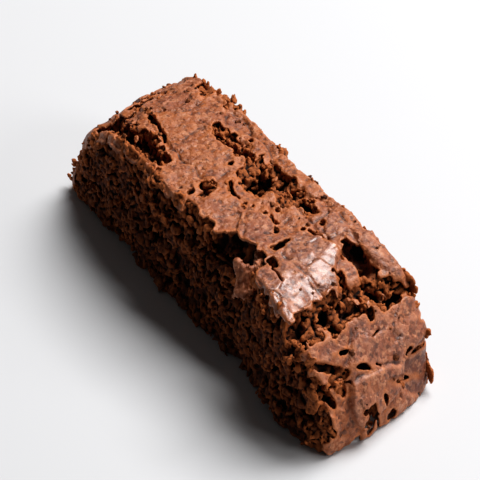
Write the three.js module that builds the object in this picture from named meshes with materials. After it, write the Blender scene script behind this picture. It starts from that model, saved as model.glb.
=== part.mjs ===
// A twice-baked chocolate biscuit: one slice, cut aslant from a low loaf. Millimetres, +Z up.
//
// X runs along the slice, Y from one cut face to the other, Z up from the flat underside. The origin is in
// the middle of the underside of the bounding box. The slice is one solid. Its top and both ends carry the
// loaf's crust: smooth plates, with bare crumb, cracks and burst bubbles between them. Its two cut faces
// are open crumb. Plates and hollows are placed on the crust by two distances: "along", which is measured
// over the crust from the middle of the top and is positive towards the +X end, and "across", which is Y.

import * as THREE from "three";
import { mergeVertices } from "three/addons/utils/BufferGeometryUtils.js";

// Driving dimensions.
const LENGTH = 91; // corner to corner along X
const THICKNESS = 22; // between the cut faces
const HEIGHT = 20.5; // underside to crust
const SLANT = 7; // how far the ends lean along X from one cut face to the other
const FOOT_RADIUS = 1.4; // where an end turns under
const EDGE_RADIUS = { top: 0.8, end: 2 }; // where the crust meets a cut face
const CRUMB_LEVEL = -0.9; // of the bare crumb between the plates, from the loaf's mean surface

// The loaf's section: a superellipse over a flat base, blunter at the +X end.
const END_POWER = { near: 6, far: 4.6 };
const TOP_POWER = 1.7;

// The crust's plates, each an ellipse turned on the crust and lifted off the loaf's mean surface.
const PLATES = [
  { along: -50, across: -7, halfLength: 4.5, halfWidth: 4.5, turn: 0, lift: 0.2 },
  { along: -49, across: 5, halfLength: 5, halfWidth: 6, turn: 0, lift: 0.2 },
  { along: -39, across: -2, halfLength: 5, halfWidth: 8, turn: 10, lift: 0.4 },
  { along: -35, across: 8, halfLength: 7, halfWidth: 4, turn: 0, lift: 0.3 },
  { along: -27, across: 2.5, halfLength: 6, halfWidth: 4.5, turn: 20, lift: 0.5 },
  { along: -22, across: -10.6, halfLength: 9, halfWidth: 1.2, turn: 0, lift: 0.3 },
  { along: -24, across: -5.4, halfLength: 7, halfWidth: 1.4, turn: -6, lift: 0.3 },
  { along: -12.5, across: -0.7, halfLength: 11.5, halfWidth: 4.3, turn: 5, lift: 0.5 },
  { along: -9, across: -8, halfLength: 6, halfWidth: 3.2, turn: 0, lift: 0.4 },
  { along: -17, across: 5, halfLength: 4, halfWidth: 3, turn: 0, lift: 0.4 },
  { along: -4, across: 7.4, halfLength: 4, halfWidth: 2.2, turn: 0, lift: 0.3 },
  { along: 5, across: 9.6, halfLength: 14, halfWidth: 1.2, turn: 0, lift: 0.2 },
  { along: 5, across: -7.2, halfLength: 6.3, halfWidth: 3.6, turn: 0, lift: 0.6 },
  { along: 13.5, across: -4.1, halfLength: 5, halfWidth: 3.1, turn: 0, lift: 0.7 },
  { along: 14.5, across: 1.3, halfLength: 5, halfWidth: 2.3, turn: 15, lift: 0.3 },
  { along: 15.8, across: 6.5, halfLength: 2.6, halfWidth: 2.4, turn: 0, lift: 0.3 },
  { along: 21.4, across: 6.2, halfLength: 4.2, halfWidth: 2.4, turn: 0, lift: 0.4 },
  { along: 26, across: -7, halfLength: 5.6, halfWidth: 4.2, turn: 0, lift: 1 },
  { along: 25, across: -1, halfLength: 5.6, halfWidth: 4, turn: 0, lift: 0.8 },
  { along: 29.5, across: 2.2, halfLength: 3, halfWidth: 2.2, turn: 0, lift: 0.4 },
  { along: 29.5, across: 9.3, halfLength: 5.2, halfWidth: 1.8, turn: 5, lift: 0.7 },
  { along: 38.2, across: -5.5, halfLength: 2.8, halfWidth: 4.8, turn: 0, lift: 0.5 },
  { along: 41.6, across: -1.5, halfLength: 2.4, halfWidth: 4, turn: 0, lift: 0.6 },
  { along: 43.7, across: 5.6, halfLength: 6.6, halfWidth: 6.3, turn: 0, lift: 0.7 },
  { along: 47.2, across: -3.8, halfLength: 3.6, halfWidth: 3.8, turn: 0, lift: 0.5 },
  { along: 50.5, across: -8, halfLength: 3.6, halfWidth: 3, turn: 0, lift: 0.4 },
  { along: 53, across: 5.5, halfLength: 3.4, halfWidth: 4.8, turn: 0, lift: 0.4 },
];

// Cracks, burst bubbles and other hollows, each an elliptical bowl.
const HOLLOWS = [
  { along: -44.5, across: 7, halfLength: 1.6, halfWidth: 3.5, turn: 20, depth: 1.8 },
  { along: -45, across: -7, halfLength: 2, halfWidth: 3, turn: -20, depth: 2 },
  { along: -32, across: -7.5, halfLength: 3, halfWidth: 2, turn: 0, depth: 2 },
  { along: -22, across: -8, halfLength: 5, halfWidth: 1.8, turn: 0, depth: 1.8 },
  { along: -14, across: -7.9, halfLength: 2.5, halfWidth: 1.2, turn: 0, depth: 1.8 },
  { along: -8, across: 3.6, halfLength: 5.4, halfWidth: 1.2, turn: 12, depth: 2 },
  { along: -2.5, across: -7.8, halfLength: 2.4, halfWidth: 1.4, turn: 0, depth: 1.6 },
  { along: 2.3, across: 2.4, halfLength: 2.4, halfWidth: 2.8, turn: 0, depth: 2.6 },
  { along: 14.2, across: -9.6, halfLength: 4.4, halfWidth: 2, turn: 0, depth: 3 },
  { along: 18.7, across: -4, halfLength: 1.5, halfWidth: 2, turn: 0, depth: 2.6 },
  { along: 28.4, across: 6, halfLength: 3.4, halfWidth: 2.4, turn: 0, depth: 3 },
  { along: 32.6, across: -8.8, halfLength: 1.8, halfWidth: 1.6, turn: 0, depth: 2.2 },
  { along: 33.7, across: -3.8, halfLength: 1.8, halfWidth: 1.9, turn: 0, depth: 2.8 },
  { along: 36.2, across: 1.6, halfLength: 2.2, halfWidth: 1.6, turn: 0, depth: 1.8 },
  { along: 36.6, across: 7, halfLength: 1.4, halfWidth: 2.2, turn: 0, depth: 1.8 },
  { along: 40.2, across: -9.2, halfLength: 3.4, halfWidth: 1.3, turn: 54, depth: 2.2 },
  { along: 45.5, across: -8.9, halfLength: 3, halfWidth: 1.1, turn: 28, depth: 1.8 },
  { along: 43.5, across: -2.2, halfLength: 1, halfWidth: 2.4, turn: -18, depth: 1.6 },
  { along: 51.2, across: -1.2, halfLength: 1.6, halfWidth: 2.6, turn: 20, depth: 1.5 },
];

// Slow swellings of the cut faces, each on one side, centred at an x.
const BULGES = [
  { side: 1, x: 6, reach: 22, height: -1.3 },
  { side: 1, x: 39, reach: 12, height: 1.7 },
  { side: -1, x: 31, reach: 13, height: 1.1 },
];

// Unevenness of the whole loaf, and of the crumb.
const SWELL = { size: 13, height: 0.7 };
const BUMP = { size: 5, height: 0.3 };
const EDGE_WANDER = { size: 3.2, reach: 1.1 };
const EDGE_SLOPE = 1.8; // over which a plate comes up from the crumb
const FACE_WAVE = { size: 8, height: 0.45 };
const CRUMB = { size: 2.9, height: 0.6 };
const PORE = { spacing: 6.5, radius: 1.9, depth: 1.3 };
const FACE_FADE = 4; // distance from a cut face at which its relief has died away
const FOOT_FADE = 4; // height above the underside over which the crust's relief turns level

// The skin's facets.
const FACET = 1.3;
const JITTER = 0.3; // how far a facet's corners wander, as a share of its size

const halfRun = (LENGTH - SLANT) / 2;
const halfThick = THICKNESS / 2;
const halfHigh = HEIGHT / 2;
const { lerp, smoothstep } = THREE.MathUtils;

// A repeatable random number from 0 to 1 for each point.
function scatter(i, j, k) {
  const wave = Math.sin(i * 127.1 + j * 311.7 + k * 74.7) * 43758.5453;
  return wave - Math.floor(wave);
}

// Smooth lumps from -1 to 1, about one to a unit cube.
function lumps(x, y, z) {
  const cell = [x, y, z].map(Math.floor);
  const ease = [x - cell[0], y - cell[1], z - cell[2]].map((t) => t * t * (3 - 2 * t));
  let sum = 0;
  for (let corner = 0; corner < 8; corner++) {
    const step = [corner & 1, (corner >> 1) & 1, corner >> 2];
    const share = step.reduce((product, on, axis) => product * (on ? ease[axis] : 1 - ease[axis]), 1);
    sum += share * scatter(cell[0] + step[0], cell[1] + step[1], cell[2] + step[2]);
  }
  return 2 * sum - 1;
}

// Whether a point of the XZ plane is within the loaf's section.
function withinSection(x, z) {
  const tuck = z < FOOT_RADIUS ? FOOT_RADIUS - Math.sqrt(FOOT_RADIUS ** 2 - (FOOT_RADIUS - z) ** 2) : 0;
  const power = x > 0 ? END_POWER.near : END_POWER.far;
  return z >= 0 && (Math.abs(x) / (halfRun - tuck)) ** power + (z / HEIGHT) ** TOP_POWER < 1;
}

// Where the ray from the section's middle at an angle leaves the section, by halving.
function rimPoint(angle) {
  const ray = new THREE.Vector2(Math.cos(angle), Math.sin(angle));
  let inner = 0;
  let outer = halfRun + halfHigh;
  for (let round = 0; round < 40; round++) {
    const reach = (inner + outer) / 2;
    if (withinSection(ray.x * reach, halfHigh + ray.y * reach)) inner = reach;
    else outer = reach;
  }
  return ray.multiplyScalar(inner).add(new THREE.Vector2(0, halfHigh));
}

// Half of the crust's line in the section, from the middle of the top to the underside at one end.
// The way is 1 towards +X and -1 towards -X.
function crustLine(way) {
  const footAngle = -Math.atan2(halfHigh, halfRun - FOOT_RADIUS);
  const steps = 600;
  const points = Array.from({ length: steps + 1 }, (_, step) => {
    const angle = lerp(Math.PI / 2, footAngle, step / steps);
    return rimPoint(way > 0 ? angle : Math.PI - angle);
  });
  const alongs = [0];
  for (let i = 1; i <= steps; i++) alongs.push(alongs[i - 1] + points[i].distanceTo(points[i - 1]));
  return { way, points, alongs, total: alongs[steps] };
}

const crustLines = { near: crustLine(1), far: crustLine(-1) };

// The crust's mean surface at a distance along: its point in the section and its outward normal.
function meanCrust(along) {
  const { way, points, alongs } = along >= 0 ? crustLines.near : crustLines.far;
  const distance = Math.abs(along);
  let low = 0;
  let high = alongs.length - 1;
  while (high - low > 1) {
    const middle = (low + high) >> 1;
    if (alongs[middle] <= distance) low = middle;
    else high = middle;
  }
  const share = (distance - alongs[low]) / (alongs[high] - alongs[low]);
  const run = points[high].clone().sub(points[low]).normalize();
  const normal = new THREE.Vector2(-run.y, run.x).multiplyScalar(way);
  return { point: points[low].clone().lerp(points[high], share), normal };
}

// How far a place on the crust is from the middle of an ellipse, 1 being its rim.
function reachIn(ellipse, along, across) {
  const spot = new THREE.Vector2(along - ellipse.along, across - ellipse.across);
  spot.rotateAround(new THREE.Vector2(), -THREE.MathUtils.degToRad(ellipse.turn));
  return Math.hypot(spot.x / ellipse.halfLength, spot.y / ellipse.halfWidth);
}

// How high the plates stand at a place on the crust, the bare crumb's level being lowest.
function plateLevel(along, across) {
  const levels = PLATES.map((plate) => {
    const inside = (1 - reachIn(plate, along, across)) * Math.min(plate.halfLength, plate.halfWidth);
    return lerp(CRUMB_LEVEL, plate.lift, smoothstep(inside, -EDGE_SLOPE / 2, EDGE_SLOPE / 2));
  });
  return Math.max(...levels);
}

// How deep the hollows are at a place on the crust.
function hollowDepth(along, across) {
  const depths = HOLLOWS.map((hollow) => {
    const reach = reachIn(hollow, along, across);
    return reach < 1 ? hollow.depth * (1 - reach * reach) : 0;
  });
  return Math.max(...depths);
}

// How far the crust's edge is rounded down towards a cut face, more at the ends than over the top.
function edgeDrop(along, across) {
  const radius = lerp(EDGE_RADIUS.top, EDGE_RADIUS.end, smoothstep(Math.abs(along), 28, 42));
  const past = Math.min(Math.max(0, Math.abs(across) - halfThick + radius), radius);
  return radius - Math.sqrt(radius * radius - past * past);
}

// The crust's height over the loaf's mean surface.
function crustRelief(along, across) {
  const { size, reach } = EDGE_WANDER;
  const a = along + reach * lumps(along / size, across / size, 3.5);
  const b = across + reach * lumps(along / size, across / size, 8.5);
  const level = plateLevel(a, b);
  const bareness = Math.min(1, level / CRUMB_LEVEL);
  const swell = SWELL.height * lumps(along / SWELL.size, across / SWELL.size, 1.5);
  const bump = BUMP.height * lumps(along / BUMP.size, across / BUMP.size, 2.5);
  const crumb = CRUMB.height * lumps(along / CRUMB.size, across / CRUMB.size, 6.5);
  return level + swell + bump + Math.max(0, bareness) * crumb - hollowDepth(a, b) - edgeDrop(along, across);
}

// How far a cut face swells out of its plane at an x.
function faceSwell(x, side) {
  return BULGES.filter((bulge) => bulge.side === side).reduce((sum, bulge) => {
    const reach = Math.min(1, Math.abs(x - bulge.x) / bulge.reach);
    return sum + bulge.height * (1 - smoothstep(reach, 0, 1));
  }, 0);
}

// The height of the crumb over the plane of a cut face, side being -1 or 1.
function crumbRelief(x, z, side) {
  const wave = FACE_WAVE.height * lumps(x / FACE_WAVE.size, z / FACE_WAVE.size, 20 * side + 0.5);
  const crumb = CRUMB.height * lumps(x / CRUMB.size, z / CRUMB.size, 20 * side + 3.5);
  const column = Math.floor(x / PORE.spacing);
  const row = Math.floor(z / PORE.spacing);
  let pore = 0;
  for (let i = column - 1; i <= column + 1; i++)
    for (let j = row - 1; j <= row + 1; j++) {
      const middleX = (i + scatter(i, j, side)) * PORE.spacing;
      const middleZ = (j + scatter(i, j, side + 5)) * PORE.spacing;
      const radius = PORE.radius * (0.6 + 0.7 * scatter(i, j, side + 9));
      const away = Math.hypot(x - middleX, z - middleZ) / radius;
      pore = Math.max(pore, PORE.depth * (1 - away * away));
    }
  return wave + crumb - pore;
}

// The crust itself, in the section that lies at one place across. Its relief stands square to the mean
// surface, and turns level towards the underside, which stays flat.
function crustPoint(along, across) {
  const { point, normal } = meanCrust(along);
  const level = new THREE.Vector2(Math.sign(along), 0);
  const direction = level.lerp(normal, smoothstep(point.y, 0, FOOT_FADE)).normalize();
  return point.addScaledVector(direction, crustRelief(along, across));
}

// A point of the block's XZ rectangle, moved to its place in the section: a patch stretched between the
// crust over the top, the crust of the two ends and the underside.
function sectionPoint(x, z, across) {
  const u = (x + halfRun) / (2 * halfRun);
  const v = (z + halfHigh) / HEIGHT;
  const crustOver = (blockX, blockZ) => {
    const { way, total } = blockX >= 0 ? crustLines.near : crustLines.far;
    const share = (Math.abs(blockX) + halfHigh - blockZ) / (halfRun + HEIGHT);
    return crustPoint(way * total * share, across);
  };
  const top = crustOver(x, halfHigh);
  const near = crustOver(halfRun, z);
  const far = crustOver(-halfRun, z);
  const under = crustOver(-halfRun, -halfHigh).lerp(crustOver(halfRun, -halfHigh), u);
  const over = crustOver(-halfRun, halfHigh).lerp(crustOver(halfRun, halfHigh), u);
  const spot = under.clone().lerp(top, v).add(far.lerp(near, u));
  return spot.sub(under.lerp(over, v));
}

// A corner of the block's skin, moved to its place on the slice.
function slicePoint(block) {
  const limits = [halfRun, halfThick, halfHigh];
  const [x, across, z] = block.toArray().map((value, axis) => {
    const onEdge = Math.abs(value) > limits[axis] - FACET / 2;
    return value + (onEdge ? 0 : JITTER * FACET * (2 * scatter(block.x, block.y + axis, block.z) - 1));
  });
  const spot = sectionPoint(x, z, across);
  const side = Math.sign(across);
  const share = Math.max(0, 1 - (halfThick - Math.abs(across)) / FACE_FADE);
  const swell = side * faceSwell(spot.x, side) * (Math.abs(across) / halfThick);
  const y = across + swell + side * share * crumbRelief(spot.x, spot.y, side);
  const lean = (-SLANT * across) / THICKNESS;
  return new THREE.Vector3(spot.x + lean, y, z <= -halfHigh ? 0 : Math.max(spot.y, 0));
}

// The whole slice: a finely divided block whose skin is moved corner by corner.
function sliceGeometry() {
  const block = new THREE.BoxGeometry(
    2 * halfRun,
    THICKNESS,
    HEIGHT,
    Math.round((2 * halfRun) / FACET),
    Math.round(THICKNESS / FACET),
    Math.round(HEIGHT / FACET),
  );
  block.deleteAttribute("normal");
  block.deleteAttribute("uv");
  const skin = mergeVertices(block, 1e-3);
  const corners = skin.getAttribute("position");
  for (let i = 0; i < corners.count; i++) {
    const moved = slicePoint(new THREE.Vector3().fromBufferAttribute(corners, i));
    corners.setXYZ(i, moved.x, moved.y, moved.z);
  }
  skin.computeBoundingBox();
  const middle = skin.boundingBox.getCenter(new THREE.Vector3());
  skin.translate(-middle.x, -middle.y, 0);
  skin.computeVertexNormals();
  return skin;
}

const biscuitMaterial = new THREE.MeshStandardMaterial({ color: 0x87523a, roughness: 0.85, metalness: 0 });

const slice = new THREE.Mesh(sliceGeometry(), biscuitMaterial);
slice.name = "biscotto";

const biscotti = new THREE.Group();
biscotti.add(slice);

export default biscotti;
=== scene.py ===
"""A chocolate biscotto: one slice, cut aslant from a low baked loaf.

The slice is made as a baker would see it: an open crumb, a brittle crust that lies over it in torn
plates, and the loose crumbs that the knife left. Sizes here are in millimetres. The slice is worked out
upright, with square ends, and each finished mesh is then leaned over to the slant of the cut, centred and
brought to metres. Crumb and crust are carved from fields of distances over a fine grid, because caves, torn
overhangs and hanging grains can't be drawn out of a primitive.

Places on the crust are given by two distances: "along", measured over the crust from the middle of the
top and positive towards the +X end, and "across", which is Y.
"""

import logging
import math
from dataclasses import dataclass, field
from enum import Enum, IntEnum

import bpy
import numpy as np
import openvdb
from mathutils import Euler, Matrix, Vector

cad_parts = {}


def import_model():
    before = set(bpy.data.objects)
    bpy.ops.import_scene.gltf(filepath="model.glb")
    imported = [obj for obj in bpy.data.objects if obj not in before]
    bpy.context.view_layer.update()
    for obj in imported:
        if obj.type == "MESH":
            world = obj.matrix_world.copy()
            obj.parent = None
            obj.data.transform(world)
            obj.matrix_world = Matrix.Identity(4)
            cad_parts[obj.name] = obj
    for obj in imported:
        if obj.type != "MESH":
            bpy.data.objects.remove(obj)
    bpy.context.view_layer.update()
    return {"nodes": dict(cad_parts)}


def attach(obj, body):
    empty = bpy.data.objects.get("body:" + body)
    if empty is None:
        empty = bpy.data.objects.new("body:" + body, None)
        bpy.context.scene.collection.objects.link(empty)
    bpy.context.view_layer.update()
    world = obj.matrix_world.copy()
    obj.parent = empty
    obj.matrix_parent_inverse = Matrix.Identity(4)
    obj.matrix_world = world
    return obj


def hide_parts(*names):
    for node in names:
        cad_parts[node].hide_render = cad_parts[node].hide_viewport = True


LOG = logging.getLogger("biscotto")
MM = 0.001
FINE_STEP, QUICK_STEP = 0.2, 0.3
HALF_THICKNESS = 11.0
# A distance greater than any that counts, and a length too small to divide by.
FAR, TINY = 9.0, 1e-6
# What a lattice point is multiplied by to scatter it, and how widely.
LATTICE, SPREAD = (127.1, 311.7, 74.7), 43758.5453
Array = np.ndarray
Piece = bpy.types.Object
Node, Socket, Tree = bpy.types.Node, bpy.types.NodeSocket, bpy.types.NodeTree
Pair, Triple = tuple[float, float], tuple[float, float, float]
Colour = Triple


class Tone(Enum):
    """How a plate of crust is coloured: 0 is pinkish brown, -1 dark and purplish, 1 orange-brown."""

    DUSKY = -1.0
    PINK = 0.0
    TAWNY = 0.5
    ORANGE = 1.0


class Layer(float, Enum):
    """Which layer of lumps, or of chances, each kind of unevenness is read from, so that no two are alike."""

    SWELL = 1.5
    BUMP = 2.5
    WANDER_ALONG = 3.5
    LEAF_END = 5.5
    LEAF_SIDE = 7.5
    WANDER_ACROSS = 8.5
    TEAR = 12.5
    FINE_TEAR = 14.5
    FOLDS = 16.5
    DENT = 18.5
    CURL = 22.5
    CRACKLE = 24.5
    CRACKED = 28.5
    FRAY = 33.5
    STREAKS = 42.5
    FINE_STREAKS = 44.5
    WAVER_ALONG = 51.5
    WAVER_ACROSS = 52.5
    SHARDS = 61.0
    SHARD_CHANCE = 64.0
    STREWN = 65.0
    FLAKES = 71.0
    FLAKE_STEP = 72.0
    FLAKE_TILT_ALONG = 73.0
    FLAKE_TILT_ACROSS = 74.0
    FLAKE_CRACKS = 75.0


class Seed(IntEnum):
    """Which random field over the grid each kind of unevenness is read from."""

    GRAINS = 11
    CARVED = 13
    LOOSE = 17
    UNDULATION = 19
    WIDE_PORES = 21
    FINE_PORES = 22
    CRUST_ROUGH = 41
    OVERHANG = 42
    FINE_OVERHANG = 43
    CRUST_GRAINS = 45
    CRUMB_JOINS = 51
    CRUST_JOINS = 53
    LIPS = 61
    UNDERSIDE = 72
    STIR = 80
    RAGGED = 91
    COARSE_RAGGED = 92
    CRUST_STIR = 95


def grid_step() -> float:
    return FINE_STEP


def smoothstep(value: Array, low: float, high: float) -> Array:
    """Eases from 0 at low to 1 at high."""
    share = np.clip((value - low) / (high - low), 0.0, 1.0)
    return share * share * (3.0 - 2.0 * share)


def smooth_max(a: Array, b: Array, radius: float) -> Array:
    """The larger of two fields, with the crease between them rounded off.

    Args:
        a: One field of distances.
        b: The other.
        radius: How wide the rounding is.

    Returns:
        The joined field.
    """
    share = np.clip(0.5 + 0.5 * (a - b) / radius, 0.0, 1.0)
    return b + (a - b) * share + radius * share * (1.0 - share)


def scatter(i: Array, j: Array, k: Array) -> Array:
    """A repeatable random number from 0 to 1 for each point of a lattice."""
    wave = np.sin(i * LATTICE[0] + j * LATTICE[1] + k * LATTICE[2]) * SPREAD
    return wave - np.floor(wave)


def lumps(x: Array, y: Array, z: float) -> Array:
    """Smooth lumps from -1 to 1, about one to a unit square, the same as the solid's.

    Args:
        x: First coordinates.
        y: Second coordinates.
        z: Which layer of lumps is read.

    Returns:
        The lumps' height at each point.
    """
    x, y = np.broadcast_arrays(np.asarray(x, float), np.asarray(y, float))
    cells = [np.floor(x), np.floor(y), math.floor(z)]
    eases = [t * t * (3 - 2 * t) for t in (x - cells[0], y - cells[1], z - cells[2])]
    total = np.zeros(x.shape)
    for corner in range(8):
        on = [corner & 1, (corner >> 1) & 1, corner >> 2]
        share = 1.0
        for axis in range(3):
            share = share * (eases[axis] if on[axis] else 1 - eases[axis])
        total += share * scatter(cells[0] + on[0], cells[1] + on[1], cells[2] + on[2])
    return 2 * total - 1


@dataclass(frozen=True)
class Patch:
    """An ellipse on the crust, turned by some degrees: a plate of it, or a hollow in it.

    The height is a plate's lift off the loaf's mean surface, or a hollow's depth.
    """

    along: float
    across: float
    half_length: float
    half_width: float
    turn: float
    height: float
    tone: Tone = Tone.PINK
    gloss: float = 0.3

    def inside(self, along: Array, across: Array) -> Array:
        """How far inside the rim each place is, in millimetres, negative outside.

        Args:
            along: Places along.
            across: Places across.

        Returns:
            The distances.
        """
        turn = math.radians(self.turn)
        x, y = along - self.along, across - self.across
        run = (x * math.cos(turn) + y * math.sin(turn)) / self.half_length
        side = (y * math.cos(turn) - x * math.sin(turn)) / self.half_width
        return (1.0 - np.hypot(run, side)) * min(self.half_length, self.half_width)


# The plates that the crust tore into: place, half sizes, turn, lift, tone and gloss.
PLATES = tuple(Patch(*row) for row in (
    (-50, -7, 4.5, 4.5, 0, 0.2), (-49, 5, 5, 6, 0, 0.2, Tone.TAWNY),
    (-39, -2, 5, 8, 10, 0.4, Tone.PINK, 0.5), (-35, 8, 7, 4, 0, 0.3, Tone.TAWNY),
    (-27, 2.5, 6, 4.5, 20, 0.5, Tone.TAWNY), (-22, -10.8, 10, 1.0, 0, 0.3, Tone.ORANGE, 0.2),
    (-24, -5.4, 7, 1.2, -5, 0.3, Tone.TAWNY, 0.2), (-12.5, -0.9, 12, 4.4, 3, 0.5, Tone.ORANGE, 0.35),
    (-9, -8, 6.5, 3.4, 0, 0.4, Tone.ORANGE, 0.2), (-17, 5, 4, 3, 0, 0.4, Tone.TAWNY),
    (-1, -1, 3, 2.2, 0, 0.4, Tone.ORANGE, 0.3), (-4.4, 7.2, 3.2, 2.2, 0, 0.3, Tone.TAWNY, 0.3),
    (-11, 7.6, 4, 1.6, 0, 0.1, Tone.TAWNY, 0.2), (5, 9.6, 14, 1.0, 0, 0.2, Tone.ORANGE, 0.25),
    (5, -7.2, 6.3, 3.6, 0, 0.6, Tone.TAWNY, 0.4), (6.6, -0.8, 3.6, 2.4, 0, 0.3, Tone.ORANGE, 0.3),
    (13.5, -4.1, 5, 3.1, 0, 0.7, Tone.PINK, 0.35), (14.5, 1.3, 5, 2.3, 15, 0.3, Tone.ORANGE, 0.5),
    (15.8, 6.5, 2.6, 2.4, 0, 0.3, Tone.TAWNY, 0.5), (21.4, 6.2, 4.2, 2.4, 0, 0.4, Tone.PINK, 0.65),
    (26, -7, 5.6, 4.2, 0, 1.1, Tone.PINK, 1.0), (25, -1, 5.6, 4, 0, 0.95, Tone.PINK, 1.0),
    (29.5, 2.2, 3, 2.2, 0, 0.4, Tone.TAWNY, 0.4), (29.5, 9.2, 5.4, 2.0, 5, 0.7, Tone.PINK, 0.5),
    (38.4, -5.6, 2.6, 4.6, 0, 0.75, Tone.PINK, 0.5), (40.8, 3.4, 4.4, 7.6, -6, 0.8, Tone.PINK, 0.6),
    (47.6, -0.4, 3.4, 5.2, 20, 1.15, Tone.PINK, 0.55), (49.0, 9.0, 3.6, 3.0, 0, -0.1, Tone.DUSKY, 0.5),
    (49.5, -7.4, 4.2, 2.6, 0, 0.35, Tone.TAWNY, 0.35), (53, 2.8, 2.4, 4.6, 0, 0.75, Tone.TAWNY, 0.4),
))

# Where the crust broke up and the crumb shows as rough, toasted grains. The height is how far it lies sunk.
ROUGH = tuple(Patch(*row) for row in (
    (-20, -8.3, 8.5, 1.9, -3, 0.9), (-7.5, 4.8, 6, 1.5, 8, 0.7), (-33, -8, 3.5, 2.4, 0, 0.9),
    (-31, -1, 1.6, 5, 10, 0.7), (-42.5, 7.8, 1.5, 3.8, 35, 0.7), (-50, -3.5, 1.0, 2.4, -15, 0.4),
    (-2, -6.4, 1.8, 2.2, 20, 0.5), (2.6, 2.4, 3.6, 3.2, 0, 0.8), (8, 5.8, 6.6, 2.2, 3, 0.7),
    (33.9, -3, 2.5, 8.5, 4, 1.15), (35.8, 6.6, 1.5, 3.6, -8, 0.9), (29.6, 1, 1.6, 1.1, 0, 0.2),
    (45.5, -11.2, 6.5, 1.6, 4, 0.8), (39.8, 12.1, 4.6, 1.3, 0, 0.6),
))

# Holes and deep cracks that go down through the crust into the crumb.
HOLLOWS = tuple(Patch(*row) for row in (
    (-42.6, 9.0, 1.0, 2.2, 40, 1.5), (-50.4, -3.8, 0.6, 1.3, -15, 0.9), (-32, -7.5, 3, 2, 0, 2),
    (-24.5, -8.6, 3.4, 0.9, -4, 2), (-19.6, -7.4, 3, 1.2, -6, 2), (-13.4, -7.4, 1.7, 0.8, 0, 1.8),
    (-16, -9.1, 2.6, 0.5, 0, 1.2), (-9.5, 3.2, 3.6, 0.8, 6, 1.8), (-4.6, 4.3, 2.2, 0.8, 22, 2),
    (-1.5, -5.7, 1.8, 0.6, 30, 1.4), (2.7, 2.3, 2.0, 2.5, 10, 4), (14.6, -9.2, 5.4, 2.1, 4, 5.0),
    (5.6, -11.7, 8.2, 1.6, -2, 3.0), (18.5, -3.7, 1.1, 1.6, 0, 2.6), (26.7, 4.8, 1.7, 0.8, 5, 2.4),
    (20.8, -7, 1.5, 0.9, 0, 1.6), (32.4, -9, 1.3, 1.4, 0, 2.2), (34.5, -11.2, 1.2, 1.0, 0, 2),
    (33.3, -4.1, 1.1, 1.2, 0, 2.0), (34.9, -0.8, 0.8, 1.1, 0, 1.6), (35.6, 1.3, 0.9, 0.8, 0, 1.6),
    (37.4, 2.1, 1.2, 1.0, 0, 1.4), (35, 4.8, 1.3, 0.7, 15, 1.8), (36.9, 7.1, 0.8, 1.3, 0, 1.6),
    (39.9, -8.4, 2.6, 0.6, 56, 1.8), (42.8, -1.8, 1.6, 0.5, 60, 1.5), (44.4, -8.8, 2.4, 0.7, 25, 1.7),
    (51.0, -2.0, 2.6, 1.2, 4, 1.7),
))

# Plates that stayed whole and rolled over a hollow beside them, as smooth humps.
ROLLS = (Patch(29.8, 9.0, 5.6, 1.7, 5, 0.7),)

# Hollows whose floor is a smooth skin.
BUBBLES = (Patch(28.2, 5.7, 3.5, 1.6, 4, 2.0),)

# Slits and pinholes too fine for the solid.
NICKS = tuple(Patch(*row) for row in (
    (1.2, -2.6, 2.1, 0.5, -35, 1.6), (3, -3.1, 1.1, 0.35, 0, 1.2), (6, -2.7, 0.5, 0.7, 0, 1.2),
    (7.3, -1.8, 0.4, 0.4, 0, 1), (10.2, -1.4, 0.6, 0.6, 0, 1.2), (12.2, -0.8, 1.5, 0.3, -5, 1),
    (14.5, -1.8, 1.1, 0.35, -35, 1.2), (11, 1.0, 0.5, 0.5, 0, 1.2), (10.9, 2.1, 0.4, 0.4, 0, 1),
    (17.4, 2.1, 0.5, 0.45, 0, 1.4), (21, 3.1, 3.4, 0.36, 5, 1.4), (8.8, 6.2, 1.3, 0.4, -6, 1.3),
    (12.6, 5.9, 1.3, 0.9, 0, 1.8), (18.7, 5.3, 0.6, 0.5, 0, 0.6), (29, 1.5, 0.5, 0.45, 0, 0.9),
    (30.6, 0.9, 0.4, 0.4, 0, 0.8), (28.3, 0.3, 0.35, 0.35, 0, 0.8), (39.5, -4.4, 1.1, 0.36, 80, 1.3),
    (45.0, 6.7, 0.75, 0.65, 0, 1.5), (41.7, 10.6, 0.4, 0.6, 0, 1), (49.3, 1.3, 1.3, 0.42, 5, 1.2),
    (48.7, 5.3, 2.0, 0.36, 62, 1.0), (45.9, 9.3, 1.9, 0.34, 95, 0.9), (52.5, 2.5, 0.7, 0.8, 0, 1.3),
    (52.4, -0.2, 2, 0.35, 15, 1.2), (48.8, -3.2, 0.4, 0.4, 0, 0.8), (-23, -3.4, 3, 0.45, -8, 1.4),
    (-19, -4.3, 2.3, 0.4, -14, 1.2), (-3.6, 0.9, 0.5, 0.45, 0, 0.9), (-3, -8.4, 0.65, 0.6, 0, 1.4),
    (-0.2, -7.6, 0.4, 0.4, 0, 1), (-6.3, 7.3, 0.6, 0.5, 0, 1.2), (-1.5, 6.7, 0.5, 0.4, 0, 1),
    (-10, 6, 0.8, 0.6, 0, 1.2), (-34, 1, 0.4, 3, 10, 1.3), (-41, 4, 2.4, 0.4, 40, 1.2),
    (-37, -3, 1.6, 0.35, 20, 1.2),
))


@dataclass(frozen=True)
class Cavity:
    """A hollow that goes in under the crust, as a stretched ball in the upright slice."""

    middle: Triple
    half_sizes: Triple


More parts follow.
